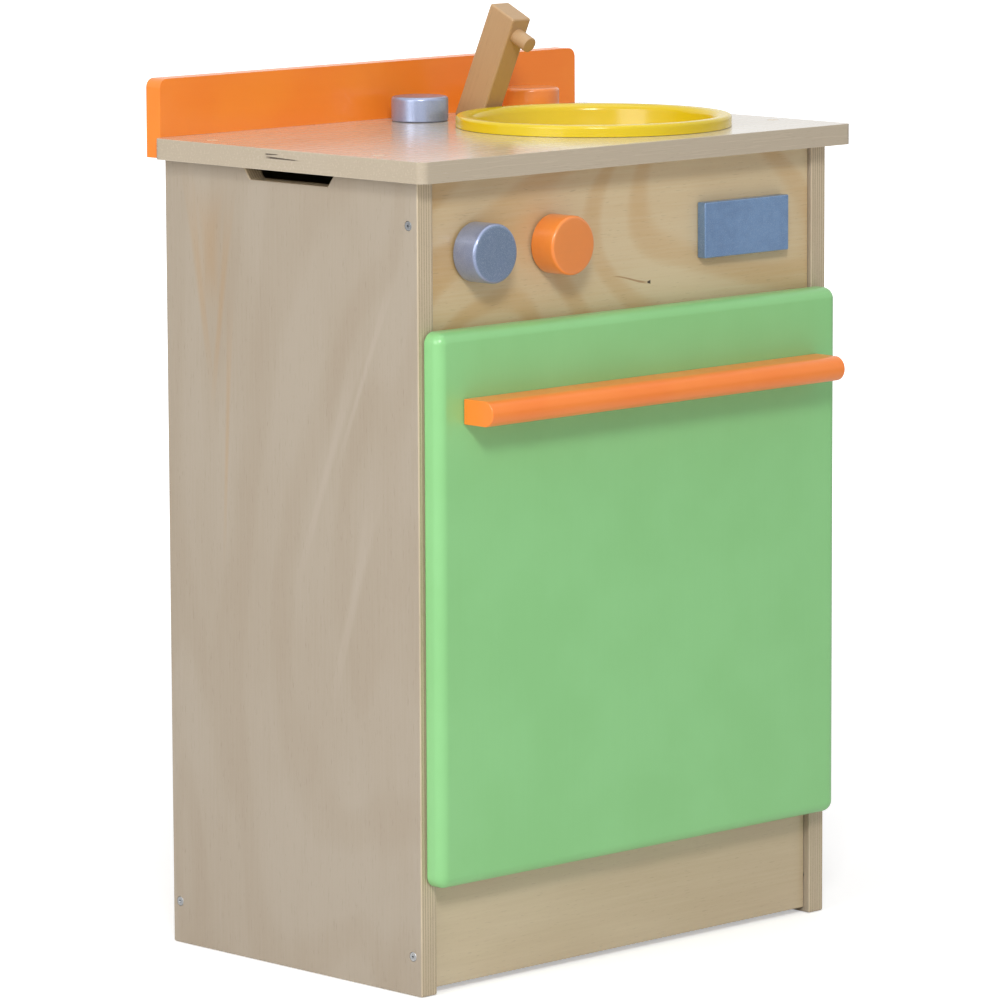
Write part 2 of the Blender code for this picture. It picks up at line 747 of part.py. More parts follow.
def bowl_profile():
    """The seen face of the bowl: its floor, its curved wall, its rim and the rim's outer lip."""
    floor_edge = Vector((BOWL_FLOOR_RADIUS, BOWL_FLOOR_Z))
    heel = Vector((BOWL_CURVE_RADIUS, BOWL_FLOOR_Z + 0.0015))
    rim_foot = WORKTOP_TOP + GAP
    rim_top = rim_foot + RIM_HEIGHT
    mouth = Vector((BOWL_MOUTH_RADIUS, rim_top - RIM_INNER_ROUND))
    profile = [Vector((0.0, BOWL_FLOOR_Z))]
    for step in range(CURVE_STEPS + 1):
        t = step / CURVE_STEPS
        profile.append(floor_edge * (1 - t) ** 2 + heel * 2 * t * (1 - t) + mouth * t * t)
    for step in (1, 2, 3):
        angle = math.radians(30) * step
        r = mouth.x + RIM_INNER_ROUND * (1 - math.cos(angle))
        profile.append(Vector((r, mouth.y + RIM_INNER_ROUND * math.sin(angle))))
    for step in range(4):
        angle = math.radians(30) * step
        r = RIM_RADIUS - RIM_OUTER_ROUND * (1 - math.sin(angle))
        z = rim_top - RIM_OUTER_ROUND * (1 - math.cos(angle))
        profile.append(Vector((r, z)))
    profile.append(Vector((RIM_RADIUS, rim_foot)))
    return [(point.x, point.y) for point in profile]


def add_bowl():
    """The loose bowl, which is tipped out about the back of its rim."""
    tip_place = at(SINK_X, BOWL_DEPTH + RIM_RADIUS, WORKTOP_TOP + GAP)
    body = make_body("basin_axis", tip_place)
    place = at(SINK_X, BOWL_DEPTH, 0.0)
    bowl = add_piece("basin", profile_mesh(bowl_profile()), body, YELLOW, place)
    turn_about_z(bowl, FINE_STEPS)
    shell = bowl.modifiers.new("wall", "SOLIDIFY")
    shell.thickness = BOWL_WALL
    shell.offset = -1.0
    shell.use_even_offset = True
    return bowl


# Door and its hardware


def add_door_panel(body):
    """The door: a large round-over along its front edges and a small arris behind."""
    half = DOOR_WIDTH / 2
    corners = [(-half, DOOR_BOTTOM), (half, DOOR_BOTTOM), (half, DOOR_TOP), (-half, DOOR_TOP)]
    outline = rounded_outline([(x, z, DOOR_CORNER) for x, z in corners])
    mesh = plate_mesh([outline], BOARD)
    weights = mesh.attributes.new("bevel_weight_edge", "FLOAT", "EDGE")
    for edge in mesh.edges:
        ends = [mesh.vertices[index].co.z for index in edge.vertices]
        if ends[0] * ends[1] > 0:
            weights.data[edge.index].value = 1.0 if ends[0] > 0 else DOOR_ARRIS_SHARE
    middle = -DOOR_CLEARANCE - BOARD / 2
    door = add_piece("door_panel", mesh, body, GREEN, at(0.0, middle, 0.0), ALONG_Y)
    round_edges(door, DOOR_ROUND_OVER, segments=4, by_weight=True)
    return door


def add_handle(body, door):
    """A bar with a full round nose, flat above and below, screwed on from inside the door."""
    back = -DOOR_CLEARANCE - BOARD - GAP
    nose = back - HANDLE_DEPTH
    top = HANDLE_BOTTOM + HANDLE_HEIGHT
    outline = rounded_outline(
        [
            (nose, HANDLE_BOTTOM, HANDLE_NOSE),
            (back, HANDLE_BOTTOM, 0.0),
            (back, top, 0.0),
            (nose, top, HANDLE_NOSE),
        ]
    )
    mesh = plate_mesh([outline], HANDLE_LENGTH)
    handle = add_piece("handle", mesh, body, ORANGE, at(0.0, 0.0, 0.0), ALONG_X)
    round_edges(handle, 0.0012)
    middle = HANDLE_BOTTOM + HANDLE_HEIGHT / 2
    places = {label: at(s * HANDLE_SCREW_X, -DOOR_CLEARANCE, middle) for label, s in SIDES}
    forwards = (0.0, -1.0, 0.0)
    add_screws("handle_screw", HANDLE_SCREW, places, forwards, body, ZINC, door, handle)


def leaf_mesh(side):
    """A hinge leaf's section, a flat leaf rolled into a knuckle, drawn out to its width."""
    near = HINGE_LEAF_SHIFT
    far = HINGE_LEAF_SHIFT + HINGE_LEAF
    start = math.acos(far / HINGE_KNUCKLE)
    end = math.acos(near / HINGE_KNUCKLE) - math.tau
    outline = [Vector((near, HINGE_LEAF_HEIGHT)), Vector((far, HINGE_LEAF_HEIGHT))]
    for step in range(ROD_STEPS + 1):
        angle = start + (end - start) * step / ROD_STEPS
        outline.append(HINGE_KNUCKLE * Vector((math.cos(angle), math.sin(angle))))
    outline = [Vector((side * point.x, point.y)) for point in outline]
    return plate_mesh([outline, circle_outline(HINGE_BORE, ROD_STEPS)], HINGE_WIDTH)


def knuckle_gap(name, x_low, x_high):
    """Room for the other leaf's knuckle, a little higher than that knuckle."""
    reach = HINGE_KNUCKLE + GAP
    low = at(x_low, HINGE_AXIS_DEPTH - reach, HINGE_AXIS_Z - reach)
    high = at(x_high, HINGE_AXIS_DEPTH + reach, HINGE_AXIS_Z + reach)
    return box_cutter(name, low, high)


def leaf_recess(name, x, board_face, leaf_face):
    """The shallow bed that lets a hinge leaf into the edge of its board."""
    half = HINGE_WIDTH / 2 + GAP
    low = at(x - half, min(board_face, leaf_face), HINGE_AXIS_Z - HINGE_KNUCKLE)
    high = at(x + half, max(board_face, leaf_face), HINGE_AXIS_Z + HINGE_LEAF_HEIGHT + GAP)
    return box_cutter(name, low, high)


def add_hinge(name, x, cabinet, door_body, floor, door):
    """A butt hinge: outer knuckles on the frame leaf, the middle one on the door leaf."""
    axis = at(x, HINGE_AXIS_DEPTH, HINGE_AXIS_Z)
    half = HINGE_WIDTH / 2
    frame_name = "hinge_leaf_frame_" + name
    door_name = "hinge_leaf_door_" + name
    frame_leaf = add_piece(frame_name, leaf_mesh(RIGHT), cabinet, BRASS, axis, ALONG_X)
    door_leaf = add_piece(door_name, leaf_mesh(LEFT), door_body, BRASS, axis, ALONG_X)

    middle = HINGE_MIDDLE_HALF
    cut(knuckle_gap(frame_name + "_gap", x - middle, x + middle), frame_leaf)
    inner = middle - GAP
    cut(knuckle_gap(door_name + "_gap_a", x - half - GAP, x - inner), door_leaf)
    cut(knuckle_gap(door_name + "_gap_b", x + inner, x + half + GAP), door_leaf)

    frame_back = HINGE_AXIS_DEPTH + HINGE_LEAF_SHIFT + HINGE_LEAF + GAP
    cut(leaf_recess(frame_name + "_bed", x, -0.001, frame_back), floor)
    door_back = HINGE_AXIS_DEPTH - HINGE_LEAF_SHIFT - HINGE_LEAF - GAP
    cut(leaf_recess(door_name + "_bed", x, -0.001, door_back), door)
    length = HINGE_WIDTH + 2 * (HINGE_PIN_HEAD_LENGTH + 3 * GAP)
    channel = rod_mesh(HINGE_KNUCKLE + GAP, length, ROD_STEPS)
    place = axis - Vector((length / 2, 0.0, 0.0))
    cut(add_cutter(door_name + "_channel", channel, place, (0.0, math.radians(90), 0.0)), door)


def pin_mesh():
    """A pin with a flat head outside the knuckles at each end, centred on its length."""
    seat = HINGE_WIDTH / 2 + GAP
    end = seat + HINGE_PIN_HEAD_LENGTH
    profile = [(0.0, end), (HINGE_PIN_HEAD, end), (HINGE_PIN_HEAD, seat), (HINGE_PIN, seat)]
    profile += [(radius, -height) for radius, height in reversed(profile)]
    return turned_mesh(profile, SCREW_STEPS)


def add_hinges(cabinet, door_body, floor, door):
    for name, side in SIDES:
        add_hinge(name, side * HINGE_X, cabinet, door_body, floor, door)
    pins = {label: at(s * HINGE_X, HINGE_AXIS_DEPTH, HINGE_AXIS_Z) for label, s in SIDES}
    add_copies("hinge_pin", pin_mesh(), pins, (1.0, 0.0, 0.0), cabinet, BRASS)


def add_catch(cabinet, door_body, door):
    """A magnetic catch under the fascia, and the plate on the door that it holds."""
    half = CATCH_LENGTH / 2
    top = FASCIA_BOTTOM - GAP
    bottom = top - CATCH_HEIGHT
    front = CATCH_SETBACK
    middle = (top + bottom) / 2
    low = at(-half, front, bottom)
    high = at(half, front + CATCH_DEPTH, top)
    housing = add_board("catch_body", low, high, cabinet, WHITE_PLASTIC, arris=0.0008)

    pole_half = POLE_LENGTH / 2
    pole_middle = MAGNET_HEIGHT / 2 + GAP + POLE_THICKNESS / 2
    slot_half = pole_middle + POLE_THICKNESS / 2 + GAP
    low = at(-pole_half - GAP, front - 0.001, middle - slot_half)
    high = at(pole_half + GAP, POLE_DEPTH + GAP, middle + slot_half)
    cut(box_cutter("catch_slot", low, high), housing)
    for label, side in (("lower", LEFT), ("upper", RIGHT)):
        pole = middle + side * pole_middle
        low = at(-pole_half, 0.0, pole - POLE_THICKNESS / 2)
        high = at(pole_half, POLE_DEPTH, pole + POLE_THICKNESS / 2)
        add_board("catch_pole_" + label, low, high, cabinet, BRIGHT_STEEL, arris=0.0)
    low = at(-pole_half, 0.0005, middle - MAGNET_HEIGHT / 2)
    high = at(pole_half, POLE_DEPTH, middle + MAGNET_HEIGHT / 2)
    add_board("catch_magnet", low, high, cabinet, FERRITE, arris=0.0)

    strike_half = STRIKE_LENGTH / 2
    recess = -DOOR_CLEARANCE - STRIKE_RECESS
    back = recess + GAP
    low = at(-strike_half, back, middle - STRIKE_HEIGHT / 2)
    high = at(strike_half, back + STRIKE_THICKNESS, middle + STRIKE_HEIGHT / 2)
    add_board("strike_plate", low, high, door_body, BRIGHT_STEEL, arris=0.0)
    low = at(-strike_half - GAP, recess, middle - STRIKE_HEIGHT / 2 - GAP)
    high = at(strike_half + GAP, 0.0, middle + STRIKE_HEIGHT / 2 + GAP)
    cut(box_cutter("strike_bed", low, high), door)


def main():
    cabinet = make_body("cabinet", Vector((0.0, 0.0, 0.0)))
    door_body = make_body("door_axis", at(0.0, HINGE_AXIS_DEPTH, HINGE_AXIS_Z))
    fascia, floor, worktop = add_carcass(cabinet)
    add_display(cabinet)
    add_dials(cabinet, fascia)
    add_taps(cabinet, worktop)
    add_faucet(cabinet)
    add_bowl()
    door = add_door_panel(door_body)
    add_handle(door_body, door)
    add_hinges(cabinet, door_body, floor, door)
    add_catch(cabinet, door_body, door)


main()
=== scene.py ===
"""Looks of the toy sink: lacquered birch plywood, painted boards and knobs, and a moulded bowl.

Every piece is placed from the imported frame's own boxes and rides on the body that carries it.
Metres, +Z up, with the door towards -Y.
"""

import logging
import math
from collections.abc import Iterable, Mapping, Sequence
from dataclasses import dataclass, field
from enum import Enum

import bmesh
import bpy
from mathutils import Matrix, Vector


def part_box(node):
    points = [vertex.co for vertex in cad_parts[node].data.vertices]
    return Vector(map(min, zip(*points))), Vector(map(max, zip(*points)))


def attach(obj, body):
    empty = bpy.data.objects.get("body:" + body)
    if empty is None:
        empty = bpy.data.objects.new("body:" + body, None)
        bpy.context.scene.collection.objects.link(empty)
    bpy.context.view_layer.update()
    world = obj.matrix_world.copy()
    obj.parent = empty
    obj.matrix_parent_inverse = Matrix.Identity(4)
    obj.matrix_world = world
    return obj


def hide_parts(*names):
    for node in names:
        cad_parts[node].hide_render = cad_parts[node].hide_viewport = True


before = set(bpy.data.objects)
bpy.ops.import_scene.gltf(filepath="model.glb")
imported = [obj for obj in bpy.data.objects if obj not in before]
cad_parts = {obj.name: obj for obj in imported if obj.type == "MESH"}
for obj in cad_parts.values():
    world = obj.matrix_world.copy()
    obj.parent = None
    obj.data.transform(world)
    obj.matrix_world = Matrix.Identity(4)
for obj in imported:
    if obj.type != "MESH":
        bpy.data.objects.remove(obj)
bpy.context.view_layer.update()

log = logging.getLogger("toy_sink")

CABINET = "cabinet"
DOOR = "door"
BOWL = "bowl"

ARC_STEPS = 10
ROUND_STEPS = 96
SMALL_STEPS = 32
HOLE_STEPS = 40
WIDE_HOLE = 0.05
ON_WALL = 0.00002
EASE_STEPS = 8
SMOOTH_BELOW = math.radians(35)
FLAT_BELOW = math.radians(0.3)
MERGE = 1e-6
TURN_MERGE = 1e-7
BOARD_PLIES = 13
THIN_PLIES = 3
PLY = 0.018 / BOARD_PLIES
FACE_PLY = 0.4
HAIR = 0.0003
SEAT_GAP = 0.0002
CLEAR = 0.001
HINGE_KNUCKLE = 0.0026
HINGE_BED = 0.0017
HINGE_END_ROOM = 0.0017

SIDES = ("left", "right")
UP, DOWN = Vector((0.0, 0.0, 1.0)), Vector((0.0, 0.0, -1.0))
BEHIND, AHEAD = Vector((0.0, 1.0, 0.0)), Vector((0.0, -1.0, 0.0))
LEFTWARD, RIGHTWARD = Vector((-1.0, 0.0, 0.0)), Vector((1.0, 0.0, 0.0))

Colour = tuple[float, float, float, float]
Feed = bpy.types.NodeSocket | float | tuple[float, ...]
Outline = list[Vector]


class Axis(Enum):
    """The world axis that a flat board's thickness runs along."""

    X = 0
    Y = 1
    Z = 2


class Grain(Enum):
    """The world axis that a board's grain runs along, first, then across it, then through it."""

    UPRIGHT_SIDE = (2, 1, 0)
    UPRIGHT_FRONT = (2, 0, 1)
    ACROSS_FRONT = (0, 2, 1)
    FLAT_ACROSS = (0, 1, 2)
    ALONG_SIDE_EDGE = (1, 2, 0)


def paint(red: int, green: int, blue: int) -> Colour:
    """A colour as it looks on a screen, made linear.

    Args:
        red: Red, 0 to 255.
        green: Green, 0 to 255.
        blue: Blue, 0 to 255.

    Returns:
        The linear colour with full alpha.
    """
    values = []
    for level in (red, green, blue):
        share = level / 255
        values.append(share / 12.92 if share <= 0.04045 else ((share + 0.055) / 1.055) ** 2.4)
    return (*values, 1.0)


# Shader groups


class Wiring:
    """Places nodes in one tree and joins them."""

    def __init__(self, tree: bpy.types.NodeTree) -> None:
        """Keeps the tree."""
        self.tree = tree

    def add(self, kind: str, inputs: dict | None = None, **options) -> bpy.types.Node:
        """Adds a node.

        Args:
            kind: The node's Blender type.
            inputs: Values or sockets for the node's inputs, by name or number.
            **options: Properties of the node.

        Returns:
            The new node.
        """
        node = self.tree.nodes.new(kind)
        for name, value in options.items():
            setattr(node, name, value)
        for key, value in (inputs or {}).items():
            self.feed(node.inputs[key], value)
        return node

    def feed(self, socket: bpy.types.NodeSocket, value: Feed) -> None:
        """Links a socket to another, or sets its value.

        Args:
            socket: The input that is fed.
            value: Another node's output, or a plain value.
        """
        if isinstance(value, bpy.types.NodeSocket):
            self.tree.links.new(value, socket)
        else:
            socket.default_value = value

    def math(self, operation: str, *values: Feed, clamp: bool = False) -> bpy.types.NodeSocket:
        """A Math node's result from values or sockets."""
        inputs = dict(enumerate(values))
        return self.add("ShaderNodeMath", inputs, operation=operation, use_clamp=clamp).outputs[0]

    def vector(self, operation: str, *values: Feed) -> bpy.types.NodeSocket:
        """A Vector Math node's vector from values or sockets."""
        inputs = dict(enumerate(values))
        return self.add("ShaderNodeVectorMath", inputs, operation=operation).outputs[0]

    def noise(self, vector: Feed, scale: Feed, detail: float, **inputs: Feed) -> bpy.types.NodeSocket:
        """A noise value at a vector.

        Args:
            vector: Where the noise is read.
            scale: How fine it is.
            detail: How many finer layers it has.
            **inputs: Other inputs of the node, in small letters.

        Returns:
            The value's socket.
        """
        values = {"Vector": vector, "Scale": scale, "Detail": detail}
        values.update({name.capitalize(): value for name, value in inputs.items()})
        return self.add("ShaderNodeTexNoise", values).outputs["Fac"]

    def ramp(self, value: Feed, low: Feed, high: Feed) -> bpy.types.NodeSocket:
        """A smooth step of a value from 0 at low to 1 at high."""
        values = {"Value": value, "From Min": low, "From Max": high}
        return self.add("ShaderNodeMapRange", values, interpolation_type="SMOOTHSTEP").outputs[0]

    def mix(self, share: Feed, first: Feed, second: Feed) -> bpy.types.NodeSocket:
        """A mix of two colours."""
        return self.add("ShaderNodeMix", {0: share, 6: first, 7: second}, data_type="RGBA").outputs[2]


def make_group(
    name: str, inputs: dict[str, float | None], outputs: Iterable[str]
) -> tuple[bpy.types.NodeTree, Wiring, Mapping, Mapping]:
    """An empty shader group with named sockets.

    Args:
        name: The group's name.
        inputs: Each input's default value, or None where it is a vector.
        outputs: The name of each output.

    Returns:
        The group, its wiring, the sockets that give its inputs and those that take its outputs.
    """
    group = bpy.data.node_groups.new(name, "ShaderNodeTree")
    for label, default in inputs.items():
        kind = "NodeSocketVector" if default is None else "NodeSocketFloat"
        socket = group.interface.new_socket(label, in_out="INPUT", socket_type=kind)
        if default is not None:
            socket.default_value = default
    for label in outputs:
        group.interface.new_socket(label, in_out="OUTPUT", socket_type="NodeSocketFloat")
    wiring = Wiring(group)
    return group, wiring, wiring.add("NodeGroupInput").outputs, wiring.add("NodeGroupOutput").inputs


def build_figure_group() -> bpy.types.NodeTree:
    """Wood figure on board coordinates: x along the grain, y across it, z through the board.

    Returns:
        A group that gives the broad figure, the soft clouds, the fine fibres and the sparse dark pores.
    """
    group, w, given, made = make_group(
        "wood_figure",
        {"Vector": None, "Seed": None, "Bands": 16.0, "Breadth": 7.0, "Stretch": 0.2},
        ("Figure", "Cloud", "Fibre", "Pores"),
    )
    place = w.vector("ADD", given["Vector"], given["Seed"])
    stretch = w.add("ShaderNodeCombineXYZ", {0: given["Stretch"], 1: 1.0, 2: 0.8}).outputs[0]
    broad = w.vector("MULTIPLY", place, stretch)
    field_value = w.noise(broad, given["Breadth"], 1.5, distortion=0.5)
    bands = w.math("SINE", w.math("MULTIPLY", field_value, given["Bands"]))
    w.feed(made["Figure"], w.ramp(bands, -0.2, 1.0))
    w.feed(made["Cloud"], w.noise(w.vector("MULTIPLY", place, (0.35, 1.0, 1.0)), 11.0, 3.0))
    fibre_place = w.vector("MULTIPLY", place, (14.0, 420.0, 420.0))
    w.feed(made["Fibre"], w.noise(fibre_place, 1.0, 3.0, roughness=0.6))
    pore_place = w.vector("MULTIPLY", place, (95.0, 1300.0, 1300.0))
    w.feed(made["Pores"], w.ramp(w.noise(pore_place, 1.0, 1.0), 0.66, 0.76))
    return group


def build_mark_group() -> bpy.types.NodeTree:
    """A streak in wood, such as a pin knot's tail, an open ply or a pale stroke.

    Returns:
        A group that gives the streak's mask on board coordinates.
    """
    sizes = {"Half Length": 0.02, "Half Width": 0.0008, "Half Depth": 0.004}
    shape = {"Slope": 0.0, "Wave": 0.0, "Fade": 0.5}
    inputs = {"Vector": None, "Centre": None, **sizes, **shape}
    group, w, given, made = make_group("streak", inputs, ("Mask",))
    from_centre = w.vector("SUBTRACT", given["Vector"], given["Centre"])
    offset = w.add("ShaderNodeSeparateXYZ", {0: from_centre}).outputs
    along = w.math("DIVIDE", offset[0], given["Half Length"])
    wave = w.math("MULTIPLY", w.math("SINE", w.math("MULTIPLY", along, 2.4)), given["Wave"])
    line = w.math("ADD", w.math("MULTIPLY", offset[0], given["Slope"]), wave)
    taper = w.math("MULTIPLY_ADD", along, 0.35, 0.75)
    width = w.math("MULTIPLY", given["Half Width"], taper)
    beside = w.math("DIVIDE", w.math("SUBTRACT", offset[1], line), width)
    reach = w.math("MAXIMUM", w.math("ABSOLUTE", along), w.math("MULTIPLY", w.math("ABSOLUTE", beside), 0.9))
    streak = w.math("SUBTRACT", 1.0, w.ramp(reach, w.math("SUBTRACT", 1.1, given["Fade"]), 1.1))
    near = w.math("LESS_THAN", w.math("ABSOLUTE", offset[2]), given["Half Depth"])
    w.feed(made["Mask"], w.math("MULTIPLY", streak, near))
    return group


def build_ply_group() -> bpy.types.NodeTree:
    """Plies seen through a board's thickness.

    Returns:
        A group that gives masks of the cross-grain plies, of the glue lines and of all but the cut edges.
    """
    group, w, given, made = make_group(
        "ply_layers",
        {"Depth": 0.0, "Ply": PLY, "Plies": float(BOARD_PLIES), "Vector": None},
        ("Cross", "Glue", "Cut"),
    )
    whole = w.math("MULTIPLY", given["Ply"], given["Plies"])
    other = w.math("SUBTRACT", whole, given["Depth"])
    nearest = w.math("MINIMUM", given["Depth"], other)
    w.feed(made["Cut"], w.ramp(nearest, 0.0001, 0.0005))
    waver = w.noise(w.vector("MULTIPLY", given["Vector"], (1.0, 1.0, 0.0)), 28.0, 1.0)
    shift = w.math("MULTIPLY", w.math("SUBTRACT", waver, 0.5), 0.00022)
    depth = w.math("ADD", given["Depth"], shift)
    count = w.math("MAXIMUM", w.math("DIVIDE", depth, given["Ply"]), FACE_PLY)
    count = w.math("MINIMUM", count, w.math("SUBTRACT", given["Plies"], FACE_PLY))
    half = w.math("FRACT", w.math("MULTIPLY", w.math("FLOOR", count), 0.5))
    w.feed(made["Cross"], w.math("GREATER_THAN", half, 0.25))
    edge = w.math("ABSOLUTE", w.math("SUBTRACT", w.math("FRACT", count), 0.5))
    w.feed(made["Glue"], w.ramp(edge, 0.3, 0.5))
    return group


def build_skin_group() -> bpy.types.NodeTree:
    """The slight unevenness of a sprayed or moulded skin.

    Returns:
        A group that gives a fine ripple for bump, a slow patchiness, brush mottling and fine specks.
    """
    group, w, given, made = make_group(
        "skin", {"Vector": None, "Ripple Scale": 500.0}, ("Ripple", "Patch", "Mottle", "Specks")
    )
    vector = given["Vector"]
    w.feed(made["Ripple"], w.noise(vector, given["Ripple Scale"], 2.0))
    w.feed(made["Patch"], w.noise(vector, 12.0, 3.0))
    w.feed(made["Mottle"], w.noise(vector, 110.0, 4.0, roughness=0.65))
    w.feed(made["Specks"], w.noise(vector, 2200.0, 1.0))
    return group


@dataclass
class Groups:
    """The shader groups that the finishes share."""

    figure: bpy.types.NodeTree = field(default_factory=build_figure_group)
    ply: bpy.types.NodeTree = field(default_factory=build_ply_group)
    skin: bpy.types.NodeTree = field(default_factory=build_skin_group)
    mark: bpy.types.NodeTree = field(default_factory=build_mark_group)


# Finishes


def new_material(name: str) -> tuple[bpy.types.Material, Wiring, bpy.types.Node]:
    """A material with a bare Principled BSDF.

    Args:
        name: The material's name.

    Returns:
        The material, the wiring of its tree and its shader.
    """
    material = bpy.data.materials.new(name)
    material.use_nodes = True
    wiring = Wiring(material.node_tree)
    return material, wiring, material.node_tree.nodes["Principled BSDF"]


def place_group(w: Wiring, group: bpy.types.NodeTree, inputs: dict) -> bpy.types.Node:
    """Puts a shared group in a material, with its inputs set."""
    return w.add("ShaderNodeGroup", inputs, node_tree=group)


def add_bump(w: Wiring, shader: bpy.types.Node, height: Feed, strength: float, reach: float) -> None:
    """Feeds a height into the shader's normal.

    Args:
        w: The material's wiring.
        shader: The Principled BSDF.
        height: The socket that gives the height.
        strength: How strongly the bump shows.
        reach: The height of a full step, in metres.
    """
    values = {"Height": height, "Strength": strength, "Distance": reach}
    w.feed(shader.inputs["Normal"], w.add("ShaderNodeBump", values).outputs[0])


def board_place(w: Wiring, parts: Sequence[bpy.types.NodeSocket], grain: Grain) -> bpy.types.NodeSocket:
    """A place on a board: along its grain, across it and through it."""
    along, across, through = grain.value
    return w.add("ShaderNodeCombineXYZ", {0: parts[along], 1: parts[across], 2: parts[through]}).outputs[0]


@dataclass(frozen=True)
class Mark:
    """A streak in a board: its middle along, across and through the board, its size and its colour."""

    order: Grain
    centre: tuple[float, float, float]
    half_length: float
    half_width: float
    half_depth: float = 0.004
    slope: float = 0.0
    wave: float = 0.0
    strength: float = 0.8
    fade: float = 0.5
    colour: Colour = paint(44, 28, 18)


@dataclass(frozen=True)
class WoodFinish:
    """Solid wood or plywood under clear lacquer."""

    name: str
    light: Colour
    dark: Colour
    cross: Colour
    glue: Colour
    grain: Grain
    cut: Colour | None = None
    through_start: float = 0.0
    ply: float = PLY
    plies: float = float(BOARD_PLIES)
    seed: tuple[float, float, float] = (0.0, 0.0, 0.0)
    bands: float = 16.0
    breadth: float = 7.0
    stretch: float = 0.2
    figure_share: float = 0.35
    fibre_share: float = 0.4
    cloud_share: float = 0.22
    pore_share: float = 0.22
    glue_share: float = 0.5
    end_fuzz: float = 0.5
    roughness: float = 0.34
    coat: float = 0.2
    coat_roughness: float = 0.16
    bump: float = 0.16
    bump_reach: float = 0.00015
    turn: float = 0.0
    marks: tuple[Mark, ...] = ()

    def build(self, groups: Groups) -> bpy.types.Material:
        """Makes the material.

        Args:
            groups: The shared shader groups.

        Returns:
            The finished material.
        """
        material, w, shader = new_material(self.name)
        place = w.add("ShaderNodeTexCoord").outputs["Object"]
        if self.turn:
            place = w.add("ShaderNodeMapping", {"Vector": place, "Rotation": (self.turn, 0, 0)}).outputs[0]
        parts = w.add("ShaderNodeSeparateXYZ", {0: place}).outputs
        board = board_place(w, parts, self.grain)
        figure = {"Bands": self.bands, "Breadth": self.breadth, "Stretch": self.stretch}
        wood = place_group(w, groups.figure, {"Vector": board, "Seed": self.seed, **figure})
        depth = w.math("SUBTRACT", parts[self.grain.value[2]], self.through_start)
        plies = {"Depth": depth, "Ply": self.ply, "Plies": self.plies, "Vector": board}
        layers = place_group(w, groups.ply, plies)
        cloud = w.ramp(wood.outputs["Cloud"], 0.35, 0.65)
        share = w.math("MULTIPLY", wood.outputs["Figure"], self.figure_share)
        share = w.math("ADD", share, w.math("MULTIPLY", cloud, self.cloud_share))
        fibre = w.math("MULTIPLY", w.math("SUBTRACT", wood.outputs["Fibre"], 0.5), self.fibre_share)
        share = w.math("ADD", share, fibre, clamp=True)
        light = w.mix(layers.outputs["Cut"], self.light, self.cut or self.light)
        face = w.mix(share, light, self.dark)
        pores = w.math("MULTIPLY", wood.outputs["Pores"], self.pore_share)
        face = w.mix(pores, face, self.glue)
        fuzz = w.noise(place, 1500.0, 2.0)
        cross = w.mix(w.math("MULTIPLY", w.ramp(fuzz, 0.3, 0.7), self.end_fuzz), self.cross, self.dark)
        colour = w.mix(layers.outputs["Cross"], face, cross)
        colour = w.mix(w.math("MULTIPLY", layers.outputs["Glue"], self.glue_share), colour, self.glue)
        for mark in self.marks:
            values = {
                "Vector": board_place(w, parts, mark.order),
                "Centre": mark.centre,
                "Half Length": mark.half_length,
                "Half Width": mark.half_width,
                "Half Depth": mark.half_depth,
                "Slope": mark.slope,
                "Wave": mark.wave,
                "Fade": mark.fade,
            }
            streak = place_group(w, groups.mark, values).outputs["Mask"]
            colour = w.mix(w.math("MULTIPLY", streak, mark.strength), colour, mark.colour)
        w.feed(shader.inputs["Base Color"], colour)
        rough = w.math("MULTIPLY_ADD", wood.outputs["Fibre"], 0.16, self.roughness - 0.08)
        w.feed(shader.inputs["Roughness"], rough)
        shader.inputs["Coat Weight"].default_value = self.coat
        shader.inputs["Coat Roughness"].default_value = self.coat_roughness
        add_bump(w, shader, wood.outputs["Fibre"], self.bump, self.bump_reach)
        return material


# Solid wood is one ply far thicker than any piece
SOLID_WOOD = {"through_start": -9.0, "ply": 20.0}


